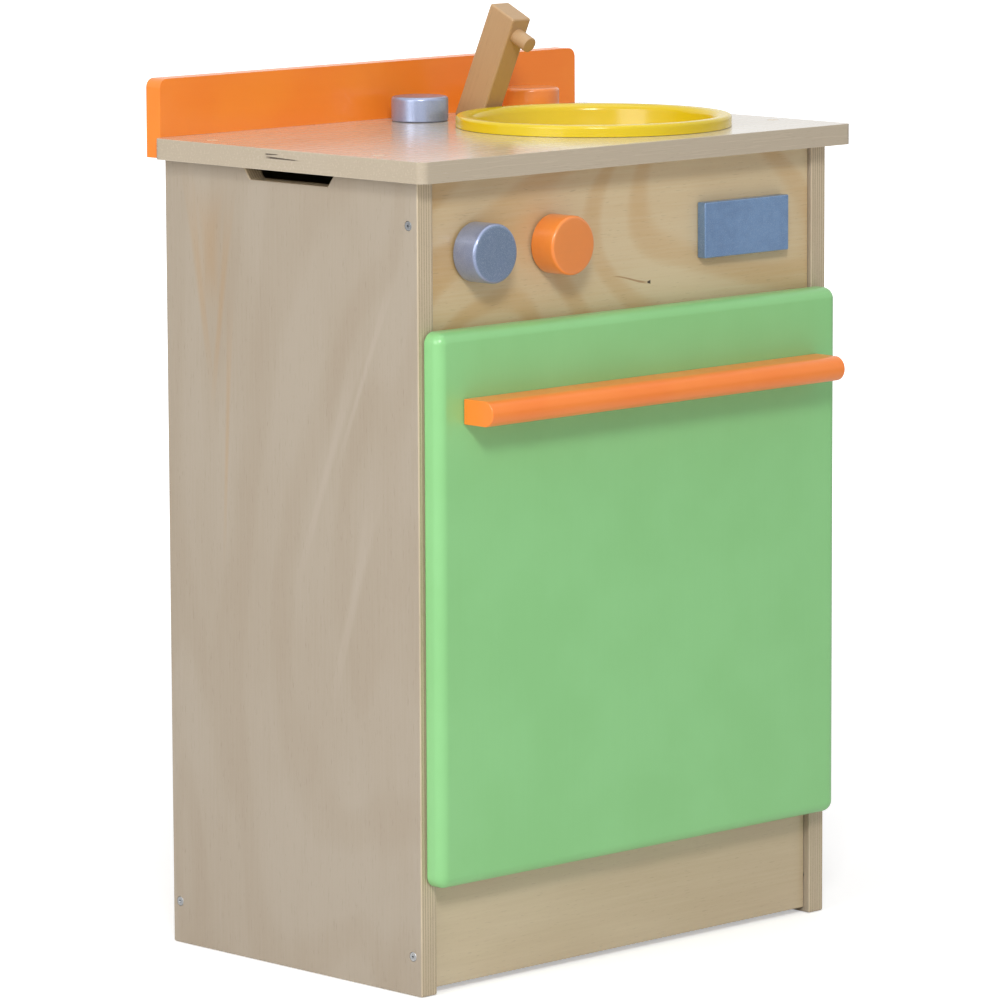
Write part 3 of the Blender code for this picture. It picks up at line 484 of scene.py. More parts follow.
@dataclass(frozen=True)
class PaintFinish:
    """Satin paint on wood, through which a little of the grain still stands."""

    name: str
    colour: Colour
    patch: Colour
    grain: Grain
    roughness: float = 0.38
    metallic: float = 0.0
    specks: float = 0.0
    mottle: float = 0.0
    coat: float = 0.35
    coat_roughness: float = 0.12
    bump: float = 0.22
    bump_reach: float = 0.00015
    # Painted shade: faces that look along this axis are painted in the darker colour below.
    shaded_face_axis: Axis | None = None
    shaded_face_colour: Colour = paint(128, 128, 128)
    grain_show: float = 0.10
    seed: tuple[float, float, float] = (0.0, 0.0, 0.0)

    def build(self, groups: Groups) -> bpy.types.Material:
        """Makes the material.

        Args:
            groups: The shared shader groups.

        Returns:
            The finished material.
        """
        material, w, shader = new_material(self.name)
        place = w.add("ShaderNodeTexCoord").outputs["Object"]
        parts = w.add("ShaderNodeSeparateXYZ", {0: place}).outputs
        board = board_place(w, parts, self.grain)
        wood = place_group(w, groups.figure, {"Vector": board, "Seed": self.seed})
        skin = place_group(w, groups.skin, {"Vector": place})
        grain = w.math("MULTIPLY", w.math("SUBTRACT", wood.outputs["Fibre"], 0.5), self.grain_show * 5)
        share = w.math("ADD", w.ramp(skin.outputs["Patch"], 0.3, 0.7), grain)
        brushed = w.math("SUBTRACT", w.ramp(skin.outputs["Mottle"], 0.3, 0.7), 0.5)
        share = w.math("MULTIPLY_ADD", brushed, self.mottle, share, clamp=True)
        colour = w.mix(share, self.colour, self.patch)
        # Painted shade: where the normal runs along the axis, the paint turns to the darker face colour.
        if self.shaded_face_axis is not None:
            facing = w.add("ShaderNodeSeparateXYZ", {0: w.add("ShaderNodeTexCoord").outputs["Normal"]})
            end = w.math("ABSOLUTE", facing.outputs[self.shaded_face_axis.value])
            shaded_face_tone = w.mix(w.math("MULTIPLY", share, 0.25), self.shaded_face_colour, self.patch)
            colour = w.mix(w.ramp(end, 0.75, 0.98), colour, shaded_face_tone)
        if self.specks:
            spark = w.math("MULTIPLY", w.ramp(skin.outputs["Specks"], 0.5, 0.75), self.specks)
            colour = w.mix(spark, colour, paint(225, 232, 240))
        w.feed(shader.inputs["Base Color"], colour)
        rough = w.math("MULTIPLY_ADD", skin.outputs["Patch"], 0.12, self.roughness - 0.06)
        w.feed(shader.inputs["Roughness"], rough)
        shader.inputs["Metallic"].default_value = self.metallic
        shader.inputs["Coat Weight"].default_value = self.coat
        shader.inputs["Coat Roughness"].default_value = self.coat_roughness
        height = w.math("MULTIPLY_ADD", wood.outputs["Fibre"], 0.5, skin.outputs["Ripple"])
        add_bump(w, shader, height, self.bump, self.bump_reach)
        return material


@dataclass(frozen=True)
class PlasticFinish:
    """Moulded plastic."""

    name: str
    colour: Colour
    deep: Colour
    roughness: float = 0.25
    glow: float = 0.0
    glow_radius: tuple[float, float, float] = (0.004, 0.003, 0.0008)
    ripple_scale: float = 260.0
    bump: float = 0.1
    bump_reach: float = 0.0002

    def build(self, groups: Groups) -> bpy.types.Material:
        """Makes the material.

        Args:
            groups: The shared shader groups.

        Returns:
            The finished material.
        """
        material, w, shader = new_material(self.name)
        place = w.add("ShaderNodeTexCoord").outputs["Object"]
        skin = place_group(w, groups.skin, {"Vector": place, "Ripple Scale": self.ripple_scale})
        colour = w.mix(w.ramp(skin.outputs["Patch"], 0.3, 0.7), self.colour, self.deep)
        w.feed(shader.inputs["Base Color"], colour)
        rough = w.math("MULTIPLY_ADD", skin.outputs["Ripple"], 0.1, self.roughness - 0.05)
        w.feed(shader.inputs["Roughness"], rough)
        shader.inputs["Subsurface Weight"].default_value = self.glow
        shader.inputs["Subsurface Radius"].default_value = self.glow_radius
        add_bump(w, shader, skin.outputs["Ripple"], self.bump, self.bump_reach)
        return material


@dataclass(frozen=True)
class MetalFinish:
    """Plated or rolled steel with fine handling marks."""

    name: str
    colour: Colour
    dull: Colour
    roughness: float = 0.32
    mark_scales: tuple[float, float, float] = (300.0, 2500.0, 300.0)
    bump: float = 0.15
    bump_reach: float = 0.00005

    def build(self, groups: Groups) -> bpy.types.Material:
        """Makes the material.

        Args:
            groups: The shared shader groups.

        Returns:
            The finished material.
        """
        material, w, shader = new_material(self.name)
        place = w.add("ShaderNodeTexCoord").outputs["Object"]
        skin = place_group(w, groups.skin, {"Vector": place})
        marks = w.noise(w.vector("MULTIPLY", place, self.mark_scales), 1.0, 2.0)
        share = w.ramp(skin.outputs["Patch"], 0.35, 0.7)
        w.feed(shader.inputs["Base Color"], w.mix(share, self.colour, self.dull))
        rough = w.math("MULTIPLY_ADD", marks, 0.2, self.roughness - 0.1)
        w.feed(shader.inputs["Roughness"], rough)
        shader.inputs["Metallic"].default_value = 1.0
        add_bump(w, shader, marks, self.bump, self.bump_reach)
        return material


# Mesh making


@dataclass(frozen=True)
class Span:
    """The space that some nodes of the frame fill at rest."""

    low: Vector
    high: Vector

    @classmethod
    def of(cls, *nodes: str) -> "Span":
        """The span of these nodes together.

        Args:
            *nodes: The nodes' names.

        Returns:
            The span.
        """
        corners = [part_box(node) for node in nodes]
        low = Vector([min(pair[0][i] for pair in corners) for i in range(3)])
        high = Vector([max(pair[1][i] for pair in corners) for i in range(3)])
        return cls(low, high)

    @property
    def middle(self) -> Vector:
        """The middle of the span."""
        return (self.low + self.high) / 2

    @property
    def size(self) -> Vector:
        """The span's width, depth and height."""
        return self.high - self.low


TURNS = {
    Axis.X: Matrix(((0, 0, 1, 0), (1, 0, 0, 0), (0, 1, 0, 0), (0, 0, 0, 1))),
    Axis.Y: Matrix(((1, 0, 0, 0), (0, 0, -1, 0), (0, 1, 0, 0), (0, 0, 0, 1))),
    Axis.Z: Matrix.Identity(4),
}


def rounded(corners: Sequence[tuple[float, float, float]], steps: int = ARC_STEPS) -> Outline:
    """An outline whose corners are rounded with arcs.

    Args:
        corners: Each corner's two coordinates and its radius.
        steps: How many steps an arc has.

    Returns:
        The points of the outline.
    """
    points: Outline = []
    for index, (x, y, radius) in enumerate(corners):
        corner = Vector((x, y))
        if not radius:
            points.append(corner)
            continue
        before = (Vector(corners[index - 1][:2]) - corner).normalized()
        after = (Vector(corners[(index + 1) % len(corners)][:2]) - corner).normalized()
        half = before.angle(after) / 2
        centre = corner + (before + after).normalized() * radius / math.sin(half)
        start = corner + before * radius / math.tan(half) - centre
        turn = start.angle_signed(corner + after * radius / math.tan(half) - centre)
        points += [
            centre + Matrix.Rotation(-turn * step / steps, 2) @ start for step in range(steps + 1)
        ]
    return points


def nodes_named(stem: str) -> list[str]:
    """The frame's nodes whose names start with a stem."""
    return sorted(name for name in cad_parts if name.startswith(stem))


def ring(x: float, y: float, radius: float, steps: int = ROUND_STEPS) -> Outline:
    """A round outline about a point."""
    turns = [math.tau * step / steps for step in range(steps)]
    return [Vector((x + radius * math.cos(a), y + radius * math.sin(a))) for a in turns]


ACROSS = {Axis.X: (1, 2), Axis.Y: (0, 2), Axis.Z: (0, 1)}


def box_outline(span: Span, axis: Axis, radii: Sequence[float], steps: int = ARC_STEPS) -> Outline:
    """The outline of a span as seen along an axis.

    Args:
        span: The span.
        axis: The axis that is looked along.
        radii: The radii of its corners, from the lowest corner on round.
        steps: How many steps an arc has.

    Returns:
        The points of the outline.
    """
    first, second = ACROSS[axis]
    low, high = span.low, span.high
    pairs = ((low, low), (high, low), (high, high), (low, high))
    corners = [(one[first], other[second], radius) for (one, other), radius in zip(pairs, radii)]
    return rounded(corners, steps)


@dataclass(frozen=True)
class Hole:
    """A round hole through a board, placed by the two coordinates across its thickness."""

    first: float
    second: float
    radius: float

    @classmethod
    def of(cls, node: str, axis: Axis, gap: float = SEAT_GAP) -> "Hole":
        """The hole that a screw, a plug or a spindle of the frame sits in.

        Args:
            node: What sits in it.
            axis: The axis that the board's thickness runs along.
            gap: The room left round it.

        Returns:
            The hole.
        """
        span = Span.of(node)
        first, second = ACROSS[axis]
        return cls(span.middle[first], span.middle[second], span.size[first] / 2 + gap)

    def outline(self) -> Outline:
        """The hole's own outline."""
        steps = ROUND_STEPS if self.radius > WIDE_HOLE else HOLE_STEPS
        return ring(self.first, self.second, self.radius, steps)

    def edges(self, point: Vector, axis: Axis) -> bool:
        """Whether a point of the board lies on the hole's wall.

        Args:
            point: The point.
            axis: The axis that the board's thickness runs along.

        Returns:
            True on the wall.
        """
        first, second = ACROSS[axis]
        reach = math.hypot(point[first] - self.first, point[second] - self.second)
        return abs(reach - self.radius) < ON_WALL


def linked(thing: bpy.types.Object) -> bpy.types.Object:
    """Puts an object in the scene."""
    bpy.context.scene.collection.objects.link(thing)
    return thing


def cleaned(mesh: bpy.types.Mesh, dissolve: bool = True) -> bpy.types.Mesh:
    """Merges a mesh's doubles and turns its faces outwards.

    Args:
        mesh: The mesh, which is changed.
        dissolve: Whether flat triangles are joined into one face.

    Returns:
        The same mesh.
    """
    shape = bmesh.new()
    shape.from_mesh(mesh)
    bmesh.ops.remove_doubles(shape, verts=shape.verts, dist=MERGE)
    if dissolve:
        bmesh.ops.dissolve_limit(shape, angle_limit=FLAT_BELOW, verts=shape.verts, edges=shape.edges)
    bmesh.ops.recalc_face_normals(shape, faces=shape.faces)
    shape.to_mesh(mesh)
    shape.free()
    return mesh


def taken(holder: bpy.types.Object) -> bpy.types.Mesh:
    """The mesh that an object's modifiers make.

    Args:
        holder: The object, which is removed.

    Returns:
        The mesh.
    """
    linked(holder)
    graph = bpy.context.evaluated_depsgraph_get()
    mesh = bpy.data.meshes.new_from_object(
        holder.evaluated_get(graph), preserve_all_data_layers=True, depsgraph=graph
    )
    bpy.data.objects.remove(holder, do_unlink=True)
    return mesh


def slab(outlines: Sequence[Outline], axis: Axis, span: Span) -> bpy.types.Mesh:
    """A flat board from its outline and any holes.

    Args:
        outlines: The outer outline and the holes, in the plane across the axis.
        axis: The axis that the thickness runs along.
        span: The span that gives the thickness.

    Returns:
        The board's mesh, in place.
    """
    low, high = span.low[axis.value], span.high[axis.value]
    curve = bpy.data.curves.new("outline", "CURVE")
    curve.dimensions = "2D"
    curve.fill_mode = "BOTH"
    curve.extrude = (high - low) / 2
    for outline in outlines:
        spline = curve.splines.new("POLY")
        spline.points.add(len(outline) - 1)
        for point, spot in zip(spline.points, outline):
            point.co = (spot.x, spot.y, 0.0, 1.0)
        spline.use_cyclic_u = True
    mesh = cleaned(taken(bpy.data.objects.new("outline", curve)), dissolve=len(outlines) == 1)
    mesh.transform(TURNS[axis])
    shift = Vector((0.0, 0.0, 0.0))
    shift[axis.value] = (low + high) / 2
    mesh.transform(Matrix.Translation(shift))
    return mesh


def rounded_edges(mesh: bpy.types.Mesh, radius: float, segments: int = 4) -> bpy.types.Mesh:
    """Rounds a mesh's sharp edges and keeps its flats flat in the light.

    Args:
        mesh: The mesh.
        radius: The radius of the rounding.
        segments: How many steps it has.

    Returns:
        The rounded mesh.
    """
    holder = bpy.data.objects.new("edges", mesh)
    mesh.shade_smooth()
    bevel = holder.modifiers.new("rounding", "BEVEL")
    bevel.width = radius
    bevel.segments = segments
    bevel.limit_method = "ANGLE"
    bevel.angle_limit = SMOOTH_BELOW
    bevel.harden_normals = True
    return taken(holder)


def weights_rounded(mesh: bpy.types.Mesh, radius: float, segments: int) -> bpy.types.Mesh:
    """Rounds a mesh's edges by their bevel weights.

    Args:
        mesh: The mesh.
        radius: The radius at an edge of full weight.
        segments: How many steps the rounding has.

    Returns:
        The rounded mesh.
    """
    holder = bpy.data.objects.new("weighted edges", mesh)
    bevel = holder.modifiers.new("rounding", "BEVEL")
    bevel.width = radius
    bevel.segments = segments
    bevel.limit_method = "WEIGHT"
    return taken(holder)


def sharpened(mesh: bpy.types.Mesh) -> bpy.types.Mesh:
    """Shades a mesh smooth below the sharp angle.

    Args:
        mesh: The mesh, which is changed.

    Returns:
        The same mesh.
    """
    mesh.shade_smooth()
    mesh.set_sharp_from_angle(angle=SMOOTH_BELOW)
    return mesh


def flats_kept(mesh: bpy.types.Mesh) -> bpy.types.Mesh:
    """Shades a mesh smooth below the sharp angle, with the light led by its large faces.

    Args:
        mesh: The mesh.

    Returns:
        The shaded mesh.
    """
    holder = bpy.data.objects.new("flats", sharpened(mesh))
    flats = holder.modifiers.new("flats", "WEIGHTED_NORMAL")
    flats.keep_sharp = True
    return taken(holder)


def drilled_board(
    outline: Outline, holes: Sequence[Hole], axis: Axis, span: Span, radius: float, segments: int
) -> bpy.types.Mesh:
    """A board with rounded outer edges and holes whose edges stay sharp.

    Args:
        outline: The outer outline, across the axis.
        holes: The holes through the board.
        axis: The axis that the thickness runs along.
        span: The span that gives the thickness.
        radius: The radius of the outer edges.
        segments: How many steps the rounding has.

    Returns:
        The board's mesh, in place.
    """
    mesh = slab([outline, *(hole.outline() for hole in holes)], axis, span)
    shape = bmesh.new()
    shape.from_mesh(mesh)
    weight = shape.edges.layers.float.new("bevel_weight_edge")
    for edge in shape.edges:
        sharp = edge.is_manifold and edge.calc_face_angle() > SMOOTH_BELOW
        held = any(hole.edges(edge.verts[0].co, axis) for hole in holes)
        edge[weight] = 1.0 if sharp and not held else 0.0
    shape.to_mesh(mesh)
    shape.free()
    return flats_kept(weights_rounded(mesh, radius, segments))


def block(low: Sequence[float], high: Sequence[float]) -> bpy.types.Mesh:
    """A cutter's box.

    Args:
        low: Its lowest corner.
        high: The corner opposite.

    Returns:
        The box's mesh, in place.
    """
    mesh = bpy.data.meshes.new("block")
    shape = bmesh.new()
    bmesh.ops.create_cube(shape, size=1.0)
    bmesh.ops.scale(shape, vec=Vector(high) - Vector(low), verts=shape.verts)
    bmesh.ops.translate(shape, vec=(Vector(low) + Vector(high)) / 2, verts=shape.verts)
    shape.to_mesh(mesh)
    shape.free()
    return mesh


def cut(mesh: bpy.types.Mesh, cutters: Sequence[bpy.types.Mesh]) -> bpy.types.Mesh:
    """Cuts beds and recesses out of a piece.

    Args:
        mesh: The piece's mesh.
        cutters: The shapes that are taken out of it.

    Returns:
        The cut mesh.
    """
    holder = bpy.data.objects.new("cut", mesh)
    tools = []
    for cutter in cutters:
        tool = linked(bpy.data.objects.new("tool", cutter))
        boolean = holder.modifiers.new("bed", "BOOLEAN")
        boolean.operation = "DIFFERENCE"
        boolean.solver = "EXACT"
        boolean.object = tool
        tools.append(tool)
    made = taken(holder)
    for tool in tools:
        bpy.data.objects.remove(tool, do_unlink=True)
    return made


def hinge_beds(kind: str, face: float, behind: float) -> list[bpy.types.Mesh]:
    """The beds of two hinge leaves in the edge of their board, and the channels for the knuckles.

    Args:
        kind: frame or door, as in the leaves' names.
        face: A depth clear of the board's face, on the leaves' open side.
        behind: 1 where the board lies behind the hinges, -1 where it lies in front of them.

    Returns:
        The cutters.
    """
    knuckle = HINGE_KNUCKLE
    cutters = []
    for label in SIDES:
        span = Span.of(f"hinge_leaf_{kind}_{label}")
        axis_z = span.low.z + knuckle
        axis_y = span.low.y + knuckle if behind > 0 else span.high.y - knuckle
        bed = axis_y + behind * HINGE_BED
        low = (span.low.x - HAIR, min(face, bed), axis_z - knuckle)
        high = (span.high.x + HAIR, max(face, bed), span.high.z + HAIR)
        half = span.size.x / 2 + HINGE_END_ROOM
        channel = [(0.0, half), (knuckle + HAIR, half), (knuckle + HAIR, -half), (0.0, -half)]
        rod = turned(channel, SMALL_STEPS)
        rod.transform(Matrix.Rotation(math.radians(90), 4, "Y"))
        rod.transform(Matrix.Translation((span.middle.x, axis_y, axis_z)))
        cutters += [block(low, high), rod]
    return cutters


def turned(profile: Sequence[tuple[float, float]], steps: int, wall: float = 0.0) -> bpy.types.Mesh:
    """A shape turned about Z.

    Args:
        profile: Points as radius and height, running down the outer side.
        steps: How many facets go round.
        wall: The thickness of a shell under the profile, or 0 for a closed profile.

    Returns:
        The turned mesh.
    """
    mesh = bpy.data.meshes.new("profile")
    edges = [(index, index + 1) for index in range(len(profile) - 1)]
    mesh.from_pydata([(radius, 0.0, height) for radius, height in profile], edges, [])
    holder = bpy.data.objects.new("turned", mesh)
    screw = holder.modifiers.new("turn", "SCREW")
    screw.angle = math.tau
    screw.steps = steps
    screw.render_steps = steps
    screw.use_merge_vertices = True
    screw.merge_threshold = MERGE
    if wall:
        shell = holder.modifiers.new("wall", "SOLIDIFY")
        shell.thickness = wall
        shell.offset = -1.0
        shell.use_even_offset = True
    made = taken(holder)
    shape = bmesh.new()
    shape.from_mesh(made)
    bmesh.ops.remove_doubles(shape, verts=shape.verts, dist=TURN_MERGE)
    shape.to_mesh(made)
    shape.free()
    return sharpened(made)


def arc(
    centre: tuple[float, float], radius: float, start: float, end: float, steps: int
) -> list[tuple[float, float]]:
    """Profile points on an arc.

    Args:
        centre: The arc's centre, as radius and height.
        radius: The arc's own radius.
        start: The first angle in degrees, from the outward direction.
        end: The last angle in degrees.
        steps: How many steps it has.

    Returns:
        The points from the first angle to the last.
    """
    points = []
    for step in range(steps + 1):
        angle = math.radians(start + (end - start) * step / steps)
        points.append((centre[0] + radius * math.cos(angle), centre[1] + radius * math.sin(angle)))
    return points


def show(
    name: str, mesh: bpy.types.Mesh, material: bpy.types.Material, body: str, *nodes: str
) -> bpy.types.Object:
    """Puts a finished piece in the scene on its body.

    Args:
        name: The piece's name.
        mesh: Its mesh, in place.
        material: Its finish.
        body: The body that it rides on.
        *nodes: The nodes of the frame that it stands for.

    Returns:
        The piece.
    """
    mesh.name = name
    mesh.materials.clear()
    mesh.materials.append(material)
    piece = linked(bpy.data.objects.new(name, mesh))
    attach(piece, body)
    if nodes:
        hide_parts(*nodes)
    log.info("%s rides on %s, %d faces", name, body, len(mesh.polygons))
    return piece


def dress(nodes: Iterable[str], material: bpy.types.Material) -> None:
    """Gives nodes of the frame that stay in view their finish.

    Args:
        nodes: The nodes' names.
        material: Their finish.
    """
    for node in nodes:
        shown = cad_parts[node]
        shown.data.materials.clear()
        shown.data.materials.append(material)
        log.info("%s keeps its own shape in %s", node, material.name)


# Scattered fasteners


def build_scatter_tree() -> bpy.types.NodeTree:
    """A tree that puts one object on every point, turned to the point's direction.

    Returns:
        The tree, with inputs for the object, its size, the seed of its turns and the finish.
    """
    tree = bpy.data.node_groups.new("fasteners_on_points", "GeometryNodeTree")
    face = tree.interface
    face.new_socket("Geometry", in_out="INPUT", socket_type="NodeSocketGeometry")
    face.new_socket("Fastener", in_out="INPUT", socket_type="NodeSocketObject")
    face.new_socket("Size", in_out="INPUT", socket_type="NodeSocketFloat").default_value = 1.0
    face.new_socket("Turn Seed", in_out="INPUT", socket_type="NodeSocketInt").default_value = 0
    face.new_socket("Finish", in_out="INPUT", socket_type="NodeSocketMaterial")
    face.new_socket("Geometry", in_out="OUTPUT", socket_type="NodeSocketGeometry")
    w = Wiring(tree)
    inside = w.add("NodeGroupInput").outputs
    outside = w.add("NodeGroupOutput")
    aim = w.add("GeometryNodeInputNamedAttribute", {"Name": "aim"}, data_type="FLOAT_VECTOR")
    turn = w.add("FunctionNodeAlignRotationToVector", {"Vector": aim.outputs[0]}, axis="Z")
    chance = w.add("FunctionNodeRandomValue", {3: math.tau, "Seed": inside["Turn Seed"]}, data_type="FLOAT")
    spin = w.add("FunctionNodeAxisAngleToRotation", {"Axis": (0, 0, 1), "Angle": chance.outputs[1]})
    turns = {0: turn.outputs[0], 1: spin.outputs[0]}
    rotation = w.add("FunctionNodeRotateRotation", turns, rotation_space="LOCAL")
    shape = w.add("GeometryNodeObjectInfo", {"Object": inside["Fastener"]})
    points = w.add("GeometryNodeMeshToPoints", {"Mesh": inside["Geometry"]})
    placing = {
        "Points": points.outputs[0],
        "Instance": shape.outputs["Geometry"],
        "Rotation": rotation.outputs[0],
        "Scale": inside["Size"],
    }
    copies = w.add("GeometryNodeInstanceOnPoints", placing)
    real = w.add("GeometryNodeRealizeInstances", {"Geometry": copies.outputs[0]})
    finish = w.add("GeometryNodeSetMaterial", {"Geometry": real.outputs[0], "Material": inside["Finish"]})
    w.feed(outside.inputs[0], finish.outputs[0])
    return tree


@dataclass
class FastenerBox:
    """The loose fasteners, each modelled once and put where it is driven.

    A share is a part of the head's radius.
    """

    finish: bpy.types.Material
    tree: bpy.types.NodeTree = field(default_factory=build_scatter_tree)
    recess_width: float = 0.0011
    recess_reach: float = 0.0042
    recess_depth: float = 0.0014
    recess_taper: float = 0.35
    head_share: float = 0.62
    rim_share: float = 0.06
    shank_share: float = 0.45
    pan_shank_share: float = 0.42

    def crossed(self, head: bpy.types.Mesh) -> bpy.types.Mesh:
        """Sinks a cross recess into the top of a screw head.

        Args:
            head: The head, with its top at or above z = 0.

        Returns:
            The head with its recess.
        """
        top = max(vertex.co.z for vertex in head.vertices)
        sizes = (self.recess_width, self.recess_reach)
        cutters = []
        for long_way, (width, reach) in ((1, sizes), (0, sizes[::-1])):
            half = Vector((width / 2, reach / 2, self.recess_depth))
            cutter = block(-half, half)
            for vertex in cutter.vertices:
                if vertex.co.z < 0:
                    vertex.co[long_way] *= self.recess_taper
            cutter.transform(Matrix.Translation((0.0, 0.0, top)))
            cutters.append(cutter)
        return sharpened(cut(cleaned(head, dissolve=False), cutters))

    def countersunk(self, radius: float, length: float) -> bpy.types.Mesh:
        """A countersunk screw, its face at z = 0 and its point down -Z.

        Args:
            radius: The radius of its head.
            length: Its length from face to point.

        Returns:
            The screw's mesh.
        """
        shank = radius * self.shank_share
        rim = radius * self.rim_share
        profile = [(0.0, 0.0), (radius - rim, 0.0), (radius, -rim), (radius, -2 * rim)]
        profile += [(shank, -radius * self.head_share), (shank, shank - length), (0.0, -length)]
        return self.crossed(turned(profile, SMALL_STEPS))

    def domed(self, radius: float, length: float) -> bpy.types.Mesh:
        """A pan-head screw, the underside of its head at z = 0 and its point down -Z.

        Args:
            radius: The radius of its head.
            length: Its length under the head.

        Returns:
            The screw's mesh.
        """
        height = radius * self.head_share
        shank = radius * self.pan_shank_share
        turns = [math.radians(angle) for angle in range(0, 91, 15)]
        dome = [(radius * math.sin(turn), height * math.cos(turn)) for turn in turns]
        profile = dome + [(radius, 0.0), (shank, 0.0), (shank, shank - length), (0.0, -length)]
        return self.crossed(turned(profile, SMALL_STEPS))

    def drive(
        self,
        name: str,
        head: bpy.types.Mesh,
        spots: Sequence[Vector],
        aim: Vector,
        body: str,
        nodes: Sequence[str] = (),
        seed: int = 1,
        finish: bpy.types.Material | None = None,
    ) -> bpy.types.Object:
        """Puts a fastener at each place and takes the result as one piece.

        Args:
            name: The piece's name.
            head: The fastener's mesh, driven along -Z.
            spots: Where each one is.
            aim: The direction that their heads face.
            body: The body that carries them.
            nodes: The nodes of the frame that they stand for.
            seed: The seed of their turns.
            finish: Their material, when it isn't the box's own.

        Returns:
            The piece.
        """
        points = bpy.data.meshes.new(name + "_points")
        points.from_pydata(spots, [], [])
        for entry in points.attributes.new("aim", "FLOAT_VECTOR", "POINT").data:
            entry.vector = aim
        source = linked(bpy.data.objects.new(name + "_one", head))
        holder = bpy.data.objects.new(name + "_points", points)
        modifier = holder.modifiers.new("fasteners", "NODES")
        modifier.node_group = self.tree
        items = self.tree.interface.items_tree
        sockets = {item.name: item.identifier for item in items if item.in_out == "INPUT"}
        material = finish or self.finish
        for label, value in (("Fastener", source), ("Size", 1.0), ("Turn Seed", seed), ("Finish", material)):
            modifier[sockets[label]] = value
        mesh = taken(holder)
        bpy.data.objects.remove(source, do_unlink=True)
        piece = show(name, mesh, material, body, *nodes)
        return piece


# Sub-assemblies


